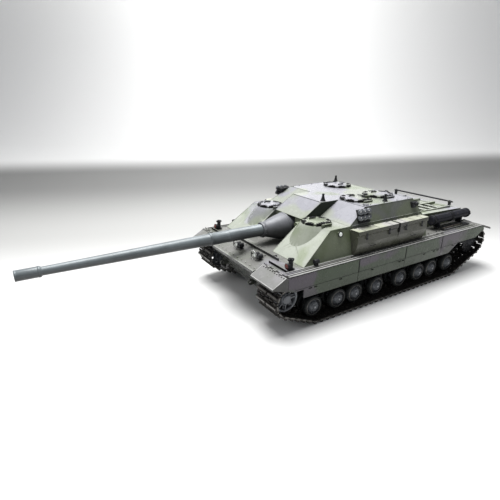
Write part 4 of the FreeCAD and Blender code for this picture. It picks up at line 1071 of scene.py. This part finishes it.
def gun_details():
    """Collar rings, muzzle lip, clamp bolts and shield ring on the moving gun."""
    kit = Kit().use(GUN)
    m = along((0, 1, 0), (0, 0, GUN_Z))
    kit.lathe([(3.8, MUZZLE + 0.2), (4.2, MUZZLE), (6.2, MUZZLE), (6.7, MUZZLE + 0.6),
               (6.7, MUZZLE + 2.2), (6.5, MUZZLE + 2.6)], m, 48)
    # Black lining and plug inside the bore: painted shade.
    kit.use(BLACK).lathe([(0, MUZZLE + 14), (3.72, MUZZLE + 14), (3.72, MUZZLE + 0.3)], m, 32)
    kit.use(GUN).lathe([(6.5, MUZZLE + 24), (6.95, MUZZLE + 24.4), (6.95, MUZZLE + 26.6),
                        (6.5, MUZZLE + 27)], m, 48)
    kit.lathe([(8.8, -141), (9.5, -140.6), (9.7, -139.2), (9.5, -137.6), (9.0, -137.2)], m, 48)
    kit.piece("barrel_rings", "gun_barrel")
    ring = Kit().use(CAST)
    ring.lathe([(11.6, -52.3), (12.1, -51.6), (12.1, -46.8), (11.6, -46.2)], m, 48)
    ring.lathe([(21.3, -11.4), (21.9, -10.8), (21.9, -9.0), (21.3, -8.6)], m, 56)
    for i in range(12):
        a = math.radians(30 * i + 15)
        outward = (math.cos(a), 0, math.sin(a))
        ring.bolt((12.0 * math.cos(a), -49.2, GUN_Z + 12.0 * math.sin(a)), outward, 0.8, 0.8)
    ring.piece("shield_rings", "gun_mantlet")


# ---- stage
def lamp(name, at, size, power, look):
    """Round area lamp at a point in metres, aimed at another."""
    data = bpy.data.lights.new(name, "AREA")
    data.shape = "DISK"
    data.size = size
    data.energy = power
    obj = bpy.data.objects.new(name, data)
    obj.location = at
    obj.rotation_euler = (Vector(look) - Vector(at)).to_track_quat("-Z", "Y").to_euler()
    bpy.context.scene.collection.objects.link(obj)


def build_stage():
    """Floor that curves up into a wall, with its light falloff painted into its colour, dim light from
    all round and three lamps.
    """
    s = Shader("studio_floor_painted_falloff")
    # Painted light falloff: the floor darkens towards the back and brightens again up the wall.
    away = s.toward((-0.93, 0.367, 0.0))
    painted_falloff = s.mix(s.fit(away, -0.1, 0.38), rgb(0.84, 0.84, 0.83), rgb(0.41, 0.41, 0.4))
    painted_falloff = s.mix(s.fit(away, 0.35, 1.0), painted_falloff, rgb(0.20, 0.20, 0.195))
    painted_falloff = s.mix(s.fit(away, 1.3, 1.9), painted_falloff, rgb(0.9, 0.9, 0.89))
    s.bump(s.noise(300.0), 0.02)
    floor_mat = s.done(painted_falloff, 0.55)
    bm = bmesh.new()
    rows = []
    near, flat, bend, wall, half_width = 2.5, 2.2, 1.2, 5.0, 5.0
    profile = [(near, 0.0)]
    for degrees in range(0, 91, 10):
        a = math.radians(degrees)
        profile.append((-flat - bend * math.sin(a), bend - bend * math.cos(a)))
    profile.append((-flat - bend, wall))
    back = Vector((-0.795, 0.4836, 0)).normalized()
    side = Vector((-back.y, back.x, 0))
    for reach, z in profile:
        base = back * -reach + Vector((0, 0, z))
        rows.append([bm.verts.new(base + side * w) for w in (-half_width, half_width)])
    for a, b in zip(rows, rows[1:]):
        bm.faces.new((a[0], a[1], b[1], b[0])).smooth = True
    mesh = bpy.data.meshes.new("studio_sweep")
    bm.to_mesh(mesh)
    bm.free()
    mesh.materials.append(floor_mat)
    floor = bpy.data.objects.new("studio_sweep", mesh)
    bpy.context.scene.collection.objects.link(floor)
    world = bpy.data.worlds.new("studio_world")
    world.use_nodes = True
    sky = world.node_tree.nodes["Background"]
    sky.inputs["Color"].default_value = rgb(0.93, 0.95, 1.0)
    sky.inputs["Strength"].default_value = 0.28
    bpy.context.scene.world = world
    bpy.context.scene.view_settings.view_transform = "Standard"
    lamp("overhead", (-0.25, 0.0, 1.45), 1.15, 43.0, (0, 0.02, 0.05))
    lamp("front_left", (-0.3, -1.7, 1.3), 0.9, 5.0, (0.05, -0.3, 0.05))
    lamp("backdrop", (-1.75, 1.0, 2.3), 1.5, 55.0, (-3.3, 1.95, 1.1))


def build_camera():
    """Camera that looks at the tank as the photo does."""
    data = bpy.data.cameras.new("photo_camera")
    data.sensor_width = 36.0
    data.lens = 27.29
    data.shift_x = 0.0003
    data.shift_y = 0.0100
    camera = bpy.data.objects.new("photo_camera", data)
    back = Vector((0.795, -0.4836, 0.3664)).normalized()
    camera.location = Vector((0.4737, -0.3601, 0.2918))
    camera.rotation_euler = back.to_track_quat("Z", "Y").to_euler()
    bpy.context.scene.collection.objects.link(camera)
    bpy.context.scene.camera = camera


dress_cad()
build_tracks()
build_wheels()
casemate_details()
hatch_details()
front_details()
fender_details()
guard_edges()
bin_details()
deck_details()
exhaust_details()
discharger_details()
roof_details()
gun_details()
build_stage()
build_camera()
